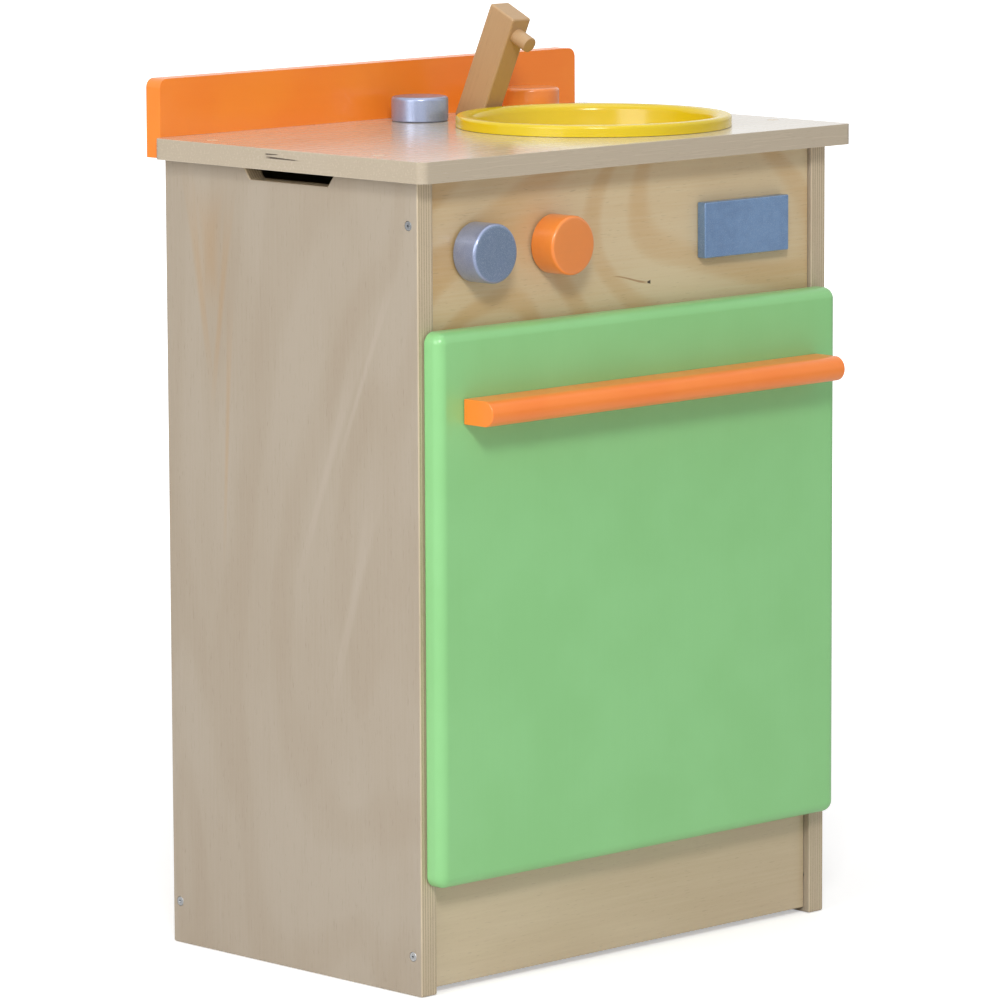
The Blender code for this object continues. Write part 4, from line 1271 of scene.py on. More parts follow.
@dataclass
class Carcass:
    """The boards of the cabinet: sides, worktop, upstand, fascia, plinth, rail, floor and back."""

    groups: Groups
    arris: float = 0.0017
    board_arris: float = 0.0009
    thin_board: float = 0.010
    notch_middle: float = 0.157
    notch_top: float = 0.112
    notch_floor: float = 0.096
    notch_drop: float = 0.0107
    worktop_corner: float = 0.008
    worktop_edge: float = 0.0052
    upstand_corner: float = 0.008
    upstand_edge: float = 0.005
    bowl_hole: float = 0.1125
    floor_screw_hole: float = 0.0042
    upstand_middle_screws: tuple[float, ...] = (-0.057, 0.057)
    floor_screws: tuple[tuple[float, float], ...] = tuple(
        (x, depth) for x in (-0.120, 0.0, 0.120) for depth in (0.0155, 0.302)
    )
    light: Colour = paint(214, 197, 166)
    dark: Colour = paint(186, 163, 128)
    cross: Colour = paint(192, 168, 132)
    glue: Colour = paint(112, 86, 60)
    golden: Colour = paint(184, 142, 88)
    pale: Colour = paint(190, 178, 162)

    def birch(self, name: str, grain: Grain, start: float, **changes) -> bpy.types.Material:
        """Lacquered birch plywood.

        Args:
            name: The material's name.
            grain: How the board lies.
            start: The coordinate at which its plies start.
            **changes: Fields that differ from the other boards'.

        Returns:
            The finished material.
        """
        colours = {"light": self.light, "dark": self.dark, "cross": self.cross, "glue": self.glue}
        colours.update(changes)
        return WoodFinish(name=name, grain=grain, through_start=start, **colours).build(self.groups)

    def side(self, label: str, seed: float) -> None:
        """A side panel with its hand grip.

        Args:
            label: left or right.
            seed: Where its veneer is cut from.
        """
        node = "side_panel_" + label
        span = Span.of(node)
        front, top = span.low.y, span.high.z
        middle = front + self.notch_middle
        outline = [
            Vector((front, span.low.z)),
            Vector((span.high.y, span.low.z)),
            Vector((span.high.y, top)),
            Vector((middle + self.notch_top / 2, top)),
            Vector((middle + self.notch_floor / 2, top - self.notch_drop)),
            Vector((middle - self.notch_floor / 2, top - self.notch_drop)),
            Vector((middle - self.notch_top / 2, top)),
            Vector((front, top)),
        ]
        holes = [Hole.of(name, Axis.X) for name in nodes_named("side_screw_" + label)]
        mesh = drilled_board(outline, holes, Axis.X, span, self.arris, segments=4)
        finish = self.birch(
            "birch_side_" + label,
            Grain.UPRIGHT_SIDE,
            span.low.x,
            seed=(seed, seed, 0.0),
            light=paint(178, 165, 147),
            dark=paint(160, 141, 117),
            cut=paint(212, 195, 166),
            cross=paint(194, 176, 146),
            glue_share=0.22,
            bands=80.0,
            breadth=4.0,
            figure_share=0.18,
            marks=self.side_streaks(span.low.x) if label == "left" else (),
        )
        show("birch_side_" + label, mesh, finish, CABINET, node)

    def side_streaks(self, face: float) -> tuple[Mark, ...]:
        """The golden streaks and pale strokes in the veneer of the side that shows.

        Args:
            face: The outer face of the panel.

        Returns:
            The marks, with their places as height and depth on the panel.
        """
        order = Grain.UPRIGHT_SIDE
        golden = {"strength": 0.3, "fade": 1.05, "colour": self.golden}
        pale = {"strength": 0.4, "fade": 1.05, "colour": self.pale}
        return (
            Mark(order, (0.585, 0.132, face), 0.095, 0.0075, slope=0.16, **golden),
            Mark(order, (0.565, 0.104, face), 0.100, 0.0060, slope=-0.14, **golden),
            Mark(order, (0.455, 0.098, face), 0.120, 0.0040, slope=-0.05, **golden),
            Mark(order, (0.610, 0.118, face), 0.060, 0.0200, slope=0.02, **golden),
            Mark(order, (0.520, -0.075, face), 0.090, 0.0050, slope=-0.42, **pale),
            Mark(order, (0.440, -0.030, face), 0.110, 0.0080, slope=-0.38, **pale),
            Mark(order, (0.330, -0.060, face), 0.100, 0.0100, slope=-0.30, **pale),
        )

    def worktop(self) -> None:
        """The worktop with its round cut-out, its plug bores and the holes of its taps."""
        span = Span.of("worktop")
        bowl = Span.of("basin").middle
        outline = box_outline(span, Axis.Z, (self.worktop_corner,) * 4)
        holes = [Hole(bowl.x, bowl.y, self.bowl_hole)]
        holes += [Hole.of(name, Axis.Z, HAIR / 2) for name in nodes_named("worktop_plug")]
        holes += [Hole.of(f"tap_{label}_spindle", Axis.Z) for label in SIDES]
        mesh = drilled_board(outline, holes, Axis.Z, span, self.worktop_edge, segments=6)
        edge = Grain.ALONG_SIDE_EDGE
        voids = (
            Mark(edge, (0.0240, 0.6958, span.low.x), 0.0085, 0.0008, slope=-0.03, strength=0.8),
            Mark(edge, (0.0110, 0.6928, span.low.x), 0.0215, 0.0009, slope=0.015, strength=0.85),
        )
        finish = self.birch(
            "birch_worktop",
            Grain.FLAT_ACROSS,
            span.low.z,
            seed=(3.1, 1.7, 0.0),
            light=paint(210, 199, 180),
            dark=paint(188, 172, 148),
            cut=paint(194, 180, 158),
            cross=paint(192, 178, 156),
            glue_share=0.07,
            end_fuzz=0.25,
            roughness=0.26,
            coat=0.65,
            marks=voids,
        )
        show("birch_worktop", mesh, finish, CABINET, "worktop")

    def upstand(self) -> None:
        """The orange board behind the worktop."""
        span = Span.of("upstand")
        outline = box_outline(span, Axis.Y, (0.0, 0.0, self.upstand_corner, self.upstand_corner))
        holes = [Hole.of("upstand_screw_" + label, Axis.Y) for label in SIDES]
        holes += [Hole(x, holes[0].second, holes[0].radius) for x in self.upstand_middle_screws]
        mesh = drilled_board(outline, holes, Axis.Y, span, self.upstand_edge, segments=6)
        finish = PaintFinish(
            "orange_upstand_paint", paint(255, 142, 40), paint(252, 134, 36), Grain.ACROSS_FRONT
        ).build(self.groups)
        show("orange_upstand", mesh, finish, CABINET, "upstand")

    def cross_board(
        self,
        piece: str,
        node: str,
        axis: Axis,
        seed: float,
        holes: Sequence[Hole] = (),
        beds: Sequence[bpy.types.Mesh] = (),
        **looks,
    ) -> None:
        """A plain board between the sides, its grain running across.

        Args:
            piece: The piece's name.
            node: The node that it stands for.
            axis: The axis that its thickness runs along.
            seed: Where its veneer is cut from.
            holes: The holes through it.
            beds: The shapes that are cut out of it.
            **looks: Fields of its finish that differ from the other boards'.
        """
        span = Span.of(node)
        thick = span.high[axis.value] - span.low[axis.value]
        outline = box_outline(span, axis, (0.0,) * 4)
        arris = min(self.board_arris, thick / 6)
        mesh = drilled_board(outline, holes, axis, span, arris, segments=3)
        if beds:
            mesh = flats_kept(cut(mesh, beds))
        grain = Grain.FLAT_ACROSS if axis is Axis.Z else Grain.ACROSS_FRONT
        plies = BOARD_PLIES if thick > self.thin_board else THIN_PLIES
        looks.update(seed=(seed, 2 * seed, 0.0), ply=thick / plies, plies=float(plies))
        finish = self.birch(piece, grain, span.low[axis.value], **looks)
        show(piece, mesh, finish, CABINET, node)

    def build(self) -> None:
        """Makes every board."""
        self.side("left", 0.0)
        self.side("right", 4.3)
        self.worktop()
        self.upstand()
        face = Span.of("fascia").low.y
        knot = (
            Mark(
                Grain.ACROSS_FRONT, (0.0075, 0.5819, face), 0.0215, 0.0010,
                slope=-0.17, wave=-0.0009, strength=0.65, colour=paint(158, 108, 60),
            ),
            Mark(Grain.ACROSS_FRONT, (0.0293, 0.5779, face), 0.0022, 0.0017, strength=0.95),
        )
        holes = [Hole.of(f"dial_{label}_spindle", Axis.Y) for label in SIDES]
        self.cross_board(
            "birch_fascia", "fascia", Axis.Y, 1.3, holes,
            light=paint(216, 196, 158), dark=paint(198, 158, 102), fibre_share=0.5,
            bands=120.0, breadth=3.4, stretch=0.55, figure_share=0.4, cloud_share=0.3, marks=knot,
        )
        self.cross_board("birch_plinth", "plinth", Axis.Y, 2.2, bands=24.0, figure_share=0.3)
        self.cross_board("birch_rear_rail", "rear_rail", Axis.Y, 5.1)
        front = Span.of("side_panel_left").low.y
        holes = [Hole(x, front + depth, self.floor_screw_hole) for x, depth in self.floor_screws]
        beds = hinge_beds("frame", Span.of("cabinet_floor").low.y - CLEAR, 1)
        self.cross_board("birch_floor", "cabinet_floor", Axis.Z, 6.4, holes, beds)
        self.cross_board("birch_back", "back_panel", Axis.Y, 7.7, bands=70.0, breadth=3.4, figure_share=0.4)


@dataclass
class Door:
    """The drop-down door with its bar handle."""

    groups: Groups
    corner: float = 0.010
    round_over: float = 0.0095
    round_over_steps: int = 10
    back_arris: float = 0.001
    nose: float = 0.0106
    nose_steps: int = 16
    bar_arris: float = 0.0012

    def panel(self) -> None:
        """The green panel: a large round-over in front and a small arris behind."""
        span = Span.of("door_panel")
        mesh = slab([box_outline(span, Axis.Y, (self.corner,) * 4)], Axis.Y, span)
        mesh.shade_smooth()
        weights = mesh.attributes.new("bevel_weight_edge", "FLOAT", "EDGE")
        middle = span.middle.y
        for edge in mesh.edges:
            ends = [mesh.vertices[index].co.y - middle for index in edge.vertices]
            if ends[0] * ends[1] > 0:
                share = self.back_arris / self.round_over
                weights.data[edge.index].value = 1.0 if ends[0] < 0 else share
        mesh = weights_rounded(mesh, self.round_over, self.round_over_steps)
        cutters = hinge_beds("door", span.high.y + CLEAR, -1)
        strike = Span.of("strike_plate")
        gap = Vector((HAIR, HAIR, HAIR))
        cutters.append(block(strike.low - gap, strike.high + gap))
        cutters += self.screw_bores(span)
        finish = PaintFinish(
            "green_door_paint", paint(144, 210, 137), paint(140, 206, 132), Grain.UPRIGHT_FRONT
        ).build(self.groups)
        show("green_door", flats_kept(cut(mesh, cutters)), finish, DOOR, "door_panel")

    def screw_bores(self, span: Span) -> list[bpy.types.Mesh]:
        """The bores for the handle's screws, with room for their heads.

        Args:
            span: The span of the door's panel.

        Returns:
            The cutters.
        """
        screw = Span.of("handle_screw_left")
        radius = screw.size.x / 2 + SEAT_GAP
        length = span.size.y + 2 * CLEAR
        bores = []
        for x in (screw.middle.x, 0.0, -screw.middle.x):
            bore = turned([(0.0, length), (radius, length), (radius, 0.0), (0.0, 0.0)], SMALL_STEPS)
            bore.transform(Matrix.Rotation(math.radians(-90), 4, "X"))
            bore.transform(Matrix.Translation((x, span.low.y - CLEAR, screw.middle.z)))
            bores.append(bore)
        return bores

    def bar(self) -> None:
        """The orange bar, flat above and below with a full round nose."""
        span = Span.of("handle")
        outline = box_outline(span, Axis.X, (self.nose, 0.0, 0.0, self.nose), self.nose_steps)
        mesh = slab([outline], Axis.X, span)
        finish = PaintFinish(
            "orange_bar_paint", paint(255, 138, 46), paint(252, 130, 38), Grain.ACROSS_FRONT,
            seed=(2.0, 1.0, 0.0)
        ).build(self.groups)
        show("orange_bar", rounded_edges(mesh, self.bar_arris), finish, DOOR, "handle")

    def build(self) -> None:
        """Makes the panel and the bar."""
        self.panel()
        self.bar()


@dataclass
class Knob:
    """A round knob with its threaded spindle."""

    label: str
    finish: bpy.types.Material
    axis: Axis
    edge: float = 0.003
    foot_ease: float = 0.0008
    pitch: float = 0.00125
    thread_depth: float = 0.0006
    crest_start: float = 0.4
    crest_end: float = 0.55
    tip_height: float = 0.0006
    tip_ease: float = 0.0005

    @property
    def turn(self) -> Matrix:
        """Turns a shape made along Z so that it faces the way the knob does."""
        return Matrix.Rotation(math.radians(90), 4, "X") if self.axis is Axis.Y else Matrix()

    def placed(self, mesh: bpy.types.Mesh, span: Span) -> bpy.types.Mesh:
        """Moves a turned shape to its foot in a span, facing the way the knob does.

        Args:
            mesh: The shape, turned about Z with its foot at z = 0.
            span: The span that it fills.

        Returns:
            The same mesh, in place.
        """
        foot = Vector(span.middle)
        foot[self.axis.value] = span.high.y if self.axis is Axis.Y else span.low.z
        mesh.transform(Matrix.Translation(foot) @ self.turn)
        return mesh

    def cap(self) -> None:
        """The knob itself, with its rounded rim and its eased underside."""
        span = Span.of(self.label)
        radius = span.size.x / 2
        thick = span.size[self.axis.value]
        inner = radius - self.edge
        profile = [(0.0, thick), (inner * 0.5, thick), (inner, thick)]
        profile += arc((inner, thick - self.edge), self.edge, 90, 0, EASE_STEPS)[1:]
        profile += [(radius, self.foot_ease), (radius - self.foot_ease, 0.0), (0.0, 0.0)]
        mesh = self.placed(turned(profile, ROUND_STEPS), span)
        show(self.label + "_cap", mesh, self.finish, self.label + "_knob", self.label)

    def spindle(self, finish: bpy.types.Material) -> None:
        """The spindle, with a thread on all of its length behind the knob.

        Args:
            finish: Its metal.
        """
        span = Span.of(self.label + "_spindle")
        radius = span.size.x / 2
        length = span.size[self.axis.value]
        root = radius - self.thread_depth
        profile = [(0.0, length), (root, length)]
        count = int((length - 2 * self.pitch) / self.pitch)
        for index in range(count):
            top = length - self.pitch * (index + 1)
            profile += [(root, top), (radius, top - self.pitch * self.crest_start)]
            profile += [(radius, top - self.pitch * self.crest_end)]
        profile += [(root, self.tip_height), (root - self.tip_ease, 0.0), (0.0, 0.0)]
        mesh = self.placed(turned(profile, SMALL_STEPS), span)
        piece = show(
            self.label + "_thread", mesh, finish, self.label + "_knob", self.label + "_spindle"
        )

    def build(self, metal: bpy.types.Material) -> None:
        """Makes the knob and its spindle, and dresses its nut.

        Args:
            metal: The finish of the spindle and the nut.
        """
        self.cap()
        self.spindle(metal)
        dress([self.label + "_nut"], metal)


@dataclass
class Bowl:
    """The yellow bowl with its rolled rim."""

    groups: Groups
    wall: float = 0.0025
    floor_radius: float = 0.062
    curve_radius: float = 0.093
    mouth_radius: float = 0.1058
    inner_round: float = 0.0065
    outer_round: float = 0.003
    lip_depth: float = 0.0099
    heel_rise: float = 0.0015
    curve_steps: int = 24
    steps: int = 160

    def profile(self, span: Span) -> list[tuple[float, float]]:
        """The seen face of the bowl, from the middle of its floor to the foot of its lip.

        Args:
            span: The bowl's span.

        Returns:
            Points as radius and height.
        """
        rim = span.size.x / 2
        top, foot = span.high.z, span.high.z - self.lip_depth
        floor = span.low.z + self.wall
        start = Vector((self.floor_radius, floor))
        heel = Vector((self.curve_radius, floor + self.heel_rise))
        mouth = Vector((self.mouth_radius, top - self.inner_round))
        points = [(0.0, floor), (self.floor_radius * 0.5, floor)]
        for step in range(self.curve_steps + 1):
            t = step / self.curve_steps
            point = start * (1 - t) ** 2 + heel * 2 * t * (1 - t) + mouth * t * t
            points.append((point.x, point.y))
        centre = (self.mouth_radius + self.inner_round, top - self.inner_round)
        points += arc(centre, self.inner_round, 180, 90, EASE_STEPS)[1:]
        centre = (rim - self.outer_round, top - self.outer_round)
        points += arc(centre, self.outer_round, 90, 0, EASE_STEPS)
        points.append((rim, foot))
        return points

    def build(self) -> None:
        """Makes the bowl."""
        span = Span.of("basin")
        mesh = turned(self.profile(span), self.steps, self.wall)
        mesh.transform(Matrix.Translation((span.middle.x, span.middle.y, 0.0)))
        finish = PlasticFinish(
            "yellow_moulded_plastic", paint(229, 202, 28), paint(225, 196, 24), 0.2, glow=0.12
        ).build(self.groups)
        show("yellow_bowl", mesh, finish, BOWL, "basin")


@dataclass
class Spout:
    """The leaning beech block and its dowel."""

    groups: Groups
    lean: float = math.radians(25)
    arris: float = 0.0020
    thickness: float = 0.032
    dowel_radius: float = 0.007
    dowel_ease: float = 0.0008
    dowel_steps: int = 64

    def build(self) -> None:
        """Makes the block and the dowel."""
        span = Span.of("faucet_post")
        foot = span.high.y - self.thickness / math.cos(self.lean)
        up = Vector((-math.sin(self.lean), math.cos(self.lean)))
        across = Vector((math.cos(self.lean), math.sin(self.lean)))
        front_foot = Vector((foot, span.low.z))
        length = (span.high.z - span.low.z - across.y * self.thickness) / up.y
        top_front = front_foot + up * length
        outline = [
            front_foot,
            Vector((span.high.y, span.low.z)),
            top_front + across * self.thickness,
            top_front,
        ]
        mesh = rounded_edges(slab([outline], Axis.X, span), self.arris)
        beech = WoodFinish(
            "oiled_beech",
            light=paint(192, 156, 113),
            dark=paint(164, 126, 84),
            cross=paint(192, 156, 113),
            glue=paint(130, 92, 60),
            grain=Grain.UPRIGHT_SIDE,
            **SOLID_WOOD,
            seed=(1.2, 0.4, 0.0),
            bands=9.0,
            breadth=22.0,
            figure_share=0.25,
            roughness=0.5,
            turn=-self.lean,
        ).build(self.groups)
        show("beech_spout_block", mesh, beech, CABINET, "faucet_post")

        dowel = Span.of("faucet_spout")
        length = (dowel.size.y - 2 * self.dowel_radius * math.sin(self.lean)) / math.cos(self.lean)
        ease = self.dowel_ease
        inner = self.dowel_radius - ease
        profile = [(0.0, length), *arc((inner, length - ease), ease, 90, 0, EASE_STEPS // 2)]
        profile += [(self.dowel_radius, 0.0), (0.0, 0.0)]
        rod = turned(profile, self.dowel_steps)
        tilt = Matrix.Rotation(math.radians(90) + self.lean, 4, "X")
        rod.transform(Matrix.Translation((0.0, 0.0, -length / 2)))
        rod.transform(Matrix.Translation(dowel.middle) @ tilt)
        show("beech_dowel", rod, beech, CABINET, "faucet_spout")


@dataclass
class Display:
    """The plain grey-blue block on the fascia."""

    finish: bpy.types.Material
    arris: float = 0.0018
    corner: float = 0.0012
    corner_steps: int = 4

    def build(self) -> None:
        """Makes the block."""
        span = Span.of("display_block")
        outline = box_outline(span, Axis.Y, (self.corner,) * 4, self.corner_steps)
        mesh = rounded_edges(slab([outline], Axis.Y, span), self.arris)
        show("display_plate", mesh, self.finish, CABINET, "display_block")


@dataclass
class Fixings:
    """Every screw and plug, where it is driven.

    A screw's size is the radius of its head and its length.
    """

    box: FastenerBox
    plug_finish: bpy.types.Material
    carcass: Carcass
    board_screw: tuple[float, float] = (0.004, 0.040)
    top_screw: tuple[float, float] = (0.004, 0.038)
    floor_screw: tuple[float, float] = (0.004, 0.036)
    bar_screw: tuple[float, float] = (0.0038, 0.036)
    pan_screw: tuple[float, float] = (0.0035, 0.012)
    catch_screw: tuple[float, float] = (0.0025, 0.012)
    hinge_screw: tuple[float, float] = (0.0022, 0.010)
    strike_screw: tuple[float, float] = (0.0018, 0.010)
    back_spread: float = 0.2315
    back_heights: tuple[float, ...] = (0.140, 0.390, 0.640)
    back_low_spread: float = 0.060
    back_low_height: float = 0.1053
    display_spread: float = 0.030
    spout_reaches: tuple[float, float] = (0.010, 0.026)
    hinge_screw_spread: float = 0.015
    hinge_screw_rise: float = 0.0103
    leaf_face: float = 0.0002
    catch_spread: float = 0.018
    strike_spread: float = 0.0165
    proud: float = 0.00012
    under_face: float = 0.0001
    plug_ease: float = 0.0002
    plug_steps: int = 48

    def pair(self, x: float, y: float, z: float, spread: float) -> list[Vector]:
        """Two places, to the left and the right of a middle."""
        return [Vector((x + side * spread, y, z)) for side in (-1, 1)]

    def faces(self, nodes: Sequence[str], aim: Vector) -> list[Vector]:
        """Where the heads of some screws are, from their nodes.

        Args:
            nodes: The screws' nodes.
            aim: The way their heads face.

        Returns:
            The middle of each head's face.
        """
        spots = []
        for node in nodes:
            span = Span.of(node)
            spots.append(span.middle + Vector([way * size / 2 for way, size in zip(aim, span.size)]))
        return spots

    def boards(self) -> None:
        """The screws of the sides, the upstand, the worktop and the handle, which the frame has."""
        screw = self.box.countersunk(*self.board_screw)
        for label, aim in (("left", LEFTWARD), ("right", RIGHTWARD)):
            nodes = nodes_named("side_screw_" + label)
            spots = self.faces(nodes, aim)
            self.box.drive("side_screws_" + label, screw, spots, aim, CABINET, nodes, seed=3)
        nodes = nodes_named("upstand_screw")
        spots = self.faces(nodes, BEHIND)
        level = spots[0]
        spots += [Vector((x, level.y, level.z)) for x in self.carcass.upstand_middle_screws]
        self.box.drive("rear_screws", screw, spots, BEHIND, CABINET, nodes, seed=5)
        nodes = nodes_named("worktop_screw")
        screw = self.box.countersunk(*self.top_screw)
        self.box.drive("top_screws", screw, self.faces(nodes, UP), UP, CABINET, nodes, seed=7)
        nodes = nodes_named("handle_screw")
        spots = self.faces(nodes, BEHIND)
        spots.append(Vector((0.0, spots[0].y, spots[0].z)))
        screw = self.box.countersunk(*self.bar_screw)
        self.box.drive("bar_screws", screw, spots, BEHIND, DOOR, nodes, seed=9)

    def hidden_boards(self) -> None:
        """The screws of the cabinet's floor, of its back, of the display and of the spout block."""
        front = Span.of("side_panel_left").low.y
        floor = Span.of("cabinet_floor").high.z - self.under_face
        spots = [Vector((x, front + depth, floor)) for x, depth in self.carcass.floor_screws]
        screw = self.box.countersunk(*self.floor_screw)
        self.box.drive("floor_screws", screw, spots, UP, CABINET, seed=11)
        pan = self.box.domed(*self.pan_screw)
        rear = Span.of("back_panel").high.y
        spots = [Vector((side * self.back_spread, rear, z)) for side in (-1, 1) for z in self.back_heights]
        spots += self.pair(0.0, rear, self.back_low_height, self.back_low_spread)
        self.box.drive("back_screws", pan, spots, BEHIND, CABINET, seed=13)
        middle, board = Span.of("display_block").middle, Span.of("fascia").high.y
        spots = self.pair(middle.x, board, middle.z, self.display_spread)
        self.box.drive("display_screws", pan, spots, BEHIND, CABINET, seed=15)
        post, under = Span.of("faucet_post"), Span.of("worktop").low.z
        spots = [Vector((post.middle.x, post.high.y - reach, under)) for reach in self.spout_reaches]
        self.box.drive("spout_screws", pan, spots, DOWN, CABINET, seed=17)

    def hardware(self) -> None:
        """The small screws of the hinges, of the catch and of its strike plate."""
        small = self.box.countersunk(*self.hinge_screw)
        for kind, body, aim in (("frame", CABINET, AHEAD), ("door", DOOR, BEHIND)):
            spots = []
            for label in SIDES:
                span = Span.of(f"hinge_leaf_{kind}_{label}")
                axis_y = span.low.y + HINGE_KNUCKLE if kind == "frame" else span.high.y - HINGE_KNUCKLE
                face = axis_y + aim.y * (self.proud - self.leaf_face)
                rise = span.low.z + HINGE_KNUCKLE + self.hinge_screw_rise
                spots += self.pair(span.middle.x, face, rise, self.hinge_screw_spread)
            self.box.drive(f"hinge_screws_{kind}", small, spots, aim, body, seed=19)
        catch = Span.of("catch_body")
        spots = self.pair(0.0, catch.middle.y, catch.low.z, self.catch_spread)
        self.box.drive("catch_screws", self.box.domed(*self.catch_screw), spots, DOWN, CABINET, seed=21)
        strike = Span.of("strike_plate")
        spots = self.pair(0.0, strike.high.y + self.proud, strike.middle.z, self.strike_spread)
        screw = self.box.countersunk(*self.strike_screw)
        self.box.drive("strike_screws", screw, spots, BEHIND, DOOR, seed=23)

    def plugs(self) -> None:
        """The plugs over the worktop's screws."""
        nodes = nodes_named("worktop_plug")
        size = Span.of(nodes[0]).size
        radius, ease = size.x / 2, self.plug_ease
        profile = [(0.0, 0.0), (radius - ease, 0.0), (radius, -ease), (radius, -size.z), (0.0, -size.z)]
        plug = turned(profile, self.plug_steps)
        spots = self.faces(nodes, UP)
        piece = self.box.drive("plugs", plug, spots, UP, CABINET, nodes, seed=2, finish=self.plug_finish)

    def build(self) -> None:
        """Drives them all."""
        self.boards()
        self.hidden_boards()
        self.hardware()
        self.plugs()


# Light, floor and camera


@dataclass(frozen=True)
class Lamp:
    """A square soft lamp: where it hangs, the length of its side and its power in watts."""

    name: str
    place: tuple[float, float, float]
    size: float
    power: float


@dataclass
class Studio:
    """The pale floor, the soft lamps and the camera at the photograph's angle."""

    front: float
    floor_size: float = 60.0
    floor_drop: float = 0.0004
    floor_grey: float = 0.86
    floor_roughness: float = 0.9
    near_glow: float = 0.42
    far_glow: float = 1.02
    glow_starts: float = 0.5
    glow_ends: float = 3.5
    surround: float = 0.36
    seen_surround: float = 1.0
    lamps: tuple[Lamp, ...] = (
        Lamp("key", (-2.6, -3.0, 3.0), 0.9, 88.0),
        Lamp("top", (0.2, 0.0, 3.4), 2.6, 24.0),
        Lamp("left", (-3.6, -0.4, 1.9), 2.0, 48.0),
    )
    lit_height: float = 0.45
    lens: float = 222.54
    sensor: float = 36.0
    yaw: float = -44.06
    pitch: float = 8.38
    roll: float = -0.24
    distance: float = 5.2707
    aim: tuple[float, float, float] = (0.0, 0.0, 0.350)
    slide: float = -0.1094
    rise: float = 0.0434

    def floor(self) -> None:
        """The floor, which looks white to the camera and keeps the shadow."""
        mesh = bpy.data.meshes.new("floor")
        half = self.floor_size / 2
        corners = [(-half, -half, 0), (half, -half, 0), (half, half, 0), (-half, half, 0)]
        mesh.from_pydata(corners, [], [(0, 1, 2, 3)])
        material, w, shader = new_material("pale_floor")
        shader.inputs["Base Color"].default_value = (self.floor_grey,) * 3 + (1.0,)
        shader.inputs["Roughness"].default_value = self.floor_roughness
        seen = w.add("ShaderNodeLightPath").outputs["Is Camera Ray"]
        place = w.add("ShaderNodeTexCoord").outputs["Object"]
        reach = w.add("ShaderNodeVectorMath", {0: place}, operation="LENGTH").outputs["Value"]
        away = w.ramp(reach, self.glow_starts, self.glow_ends)
        glow = w.math("MULTIPLY_ADD", away, self.far_glow - self.near_glow, self.near_glow)
        shader.inputs["Emission Color"].default_value = (1.0, 1.0, 1.0, 1.0)
        w.feed(shader.inputs["Emission Strength"], w.math("MULTIPLY", seen, glow))
        mesh.materials.append(material)
        floor = linked(bpy.data.objects.new("floor", mesh))
        floor.location.z = -self.floor_drop

    def world(self) -> None:
        """A soft white surround, brighter where it is seen or mirrored."""
        world = bpy.data.worlds.new("surround")
        world.use_nodes = True
        bpy.context.scene.world = world
        w = Wiring(world.node_tree)
        background = world.node_tree.nodes["Background"]
        path = w.add("ShaderNodeLightPath").outputs
        seen = w.math("MAXIMUM", path["Is Camera Ray"], path["Is Glossy Ray"])
        seen = w.math("MAXIMUM", seen, path["Is Transmission Ray"])
        background.inputs["Color"].default_value = (1.0, 1.0, 1.0, 1.0)
        strength = w.math("MULTIPLY_ADD", seen, self.seen_surround - self.surround, self.surround)
        w.feed(background.inputs["Strength"], strength)

    def light(self) -> None:
        """The lamps, all facing the middle of the sink."""
        target = Vector((0.0, 0.0, self.lit_height))
        for lamp in self.lamps:
            data = bpy.data.lights.new(lamp.name, "AREA")
            data.shape = "SQUARE"
            data.size = lamp.size
            data.energy = lamp.power
            holder = linked(bpy.data.objects.new(lamp.name, data))
            holder.location = lamp.place
            holder.rotation_euler = (Vector(lamp.place) - target).to_track_quat("Z", "Y").to_euler()

    def camera(self) -> None:
        """The camera, turned about the sink as in the photograph."""
        yaw, pitch, roll = (math.radians(a) for a in (self.yaw, self.pitch, self.roll))
        back = Vector(
            (math.sin(yaw) * math.cos(pitch), -math.cos(yaw) * math.cos(pitch), math.sin(pitch))
        )
        right = (-back).cross(UP).normalized()
        up = right.cross(-back)
        turned_right = math.cos(roll) * right + math.sin(roll) * up
        turned_up = math.cos(roll) * up - math.sin(roll) * right
        aim = Vector(self.aim) + Vector((0.0, self.front, 0.0))
        place = aim + back * self.distance + turned_right * self.slide + turned_up * self.rise
        data = bpy.data.cameras.new("camera")
        data.lens = self.lens
        data.sensor_width = self.sensor
        data.clip_start = 0.1
        data.clip_end = 200.0
        camera = linked(bpy.data.objects.new("camera", data))
        frame_axes = Matrix((turned_right, turned_up, back)).transposed().to_4x4()
        camera.matrix_world = Matrix.Translation(place) @ frame_axes
        bpy.context.scene.camera = camera

    def build(self) -> None:
        """Sets everything up."""
        bpy.context.scene.view_settings.view_transform = "Standard"
        self.floor()
        self.world()
        self.light()
        self.camera()


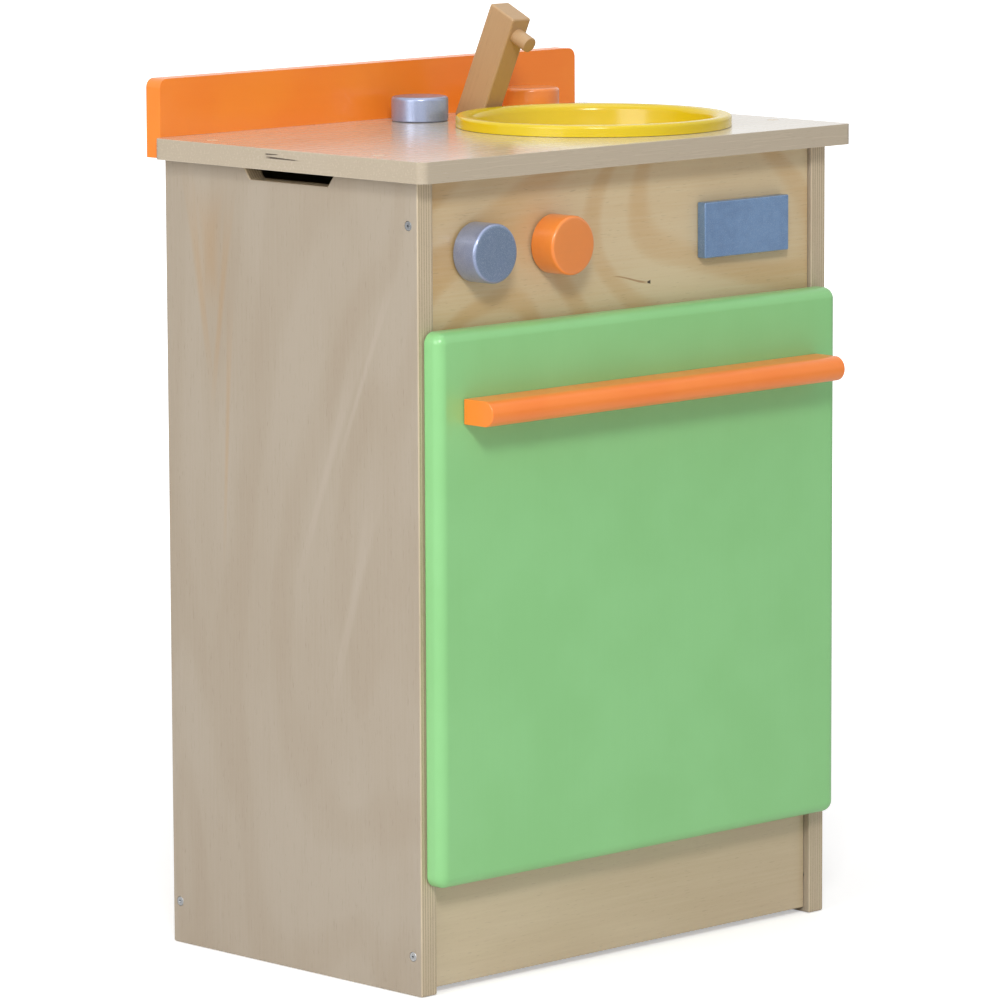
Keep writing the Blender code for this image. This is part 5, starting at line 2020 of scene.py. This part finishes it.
def main() -> None:
    """Builds the sink's looks and the studio round it."""
    logging.basicConfig(level=logging.INFO, format="%(message)s")
    groups = Groups()
    zinc = MetalFinish("zinc_plate", paint(196, 198, 200), paint(160, 163, 166)).build(groups)
    steel = MetalFinish("rolled_steel", paint(205, 206, 208), paint(170, 172, 176), 0.25).build(groups)
    brass = MetalFinish("brass_plate", paint(206, 178, 118), paint(176, 146, 92), 0.3).build(groups)
    white = PlasticFinish("white_moulded", paint(232, 231, 226), paint(224, 223, 216), 0.4).build(groups)
    magnet = PlasticFinish("grey_ferrite", paint(62, 62, 64), paint(48, 48, 50), 0.6).build(groups)
    plug = WoodFinish(
        "birch_plug_face",
        light=paint(226, 208, 176),
        dark=paint(204, 182, 146),
        cross=paint(226, 208, 176),
        glue=paint(150, 120, 84),
        grain=Grain.FLAT_ACROSS,
        **SOLID_WOOD,
    ).build(groups)
    silver = {"roughness": 0.34, "metallic": 0.5, "specks": 0.3, "mottle": 0.45, "coat": 0.5}
    plate_paint = PaintFinish(
        "grey_blue_plate_paint", paint(120, 154, 196), paint(104, 136, 178), Grain.ACROSS_FRONT, **silver
    ).build(groups)

    carcass = Carcass(groups)
    carcass.build()
    Door(groups).build()
    for kind, axis in (("dial", Axis.Y), ("tap", Axis.Z)):
        # Each knob's face along its axis is painted darker, as painted shade.
        left_paint = PaintFinish(
            f"grey_blue_{kind}_paint", paint(152, 164, 196), paint(136, 148, 182), Grain.ACROSS_FRONT,
            shaded_face_axis=axis, shaded_face_colour=paint(110, 130, 156), **silver
        ).build(groups)
        right_paint = PaintFinish(
            f"orange_{kind}_paint", paint(255, 152, 64), paint(248, 140, 54), Grain.ACROSS_FRONT,
            roughness=0.3, mottle=0.3, coat=0.5, shaded_face_axis=axis, shaded_face_colour=paint(226, 134, 62),
            seed=(4.0, 2.0, 0.0),
        ).build(groups)
        Knob(kind + "_left", left_paint, axis).build(zinc)
        Knob(kind + "_right", right_paint, axis).build(zinc)
    Bowl(groups).build()
    Spout(groups).build()
    Display(plate_paint).build()
    Fixings(FastenerBox(zinc), plug, carcass).build()
    dress([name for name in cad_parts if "washer" in name], zinc)
    dress(nodes_named("hinge_"), brass)
    dress(["catch_pole_lower", "catch_pole_upper", "strike_plate"], steel)
    dress(["catch_body"], white)
    dress(["catch_magnet"], magnet)
    Studio(front=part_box("side_panel_left")[0].y).build()


if __name__ == "__main__":
    main()
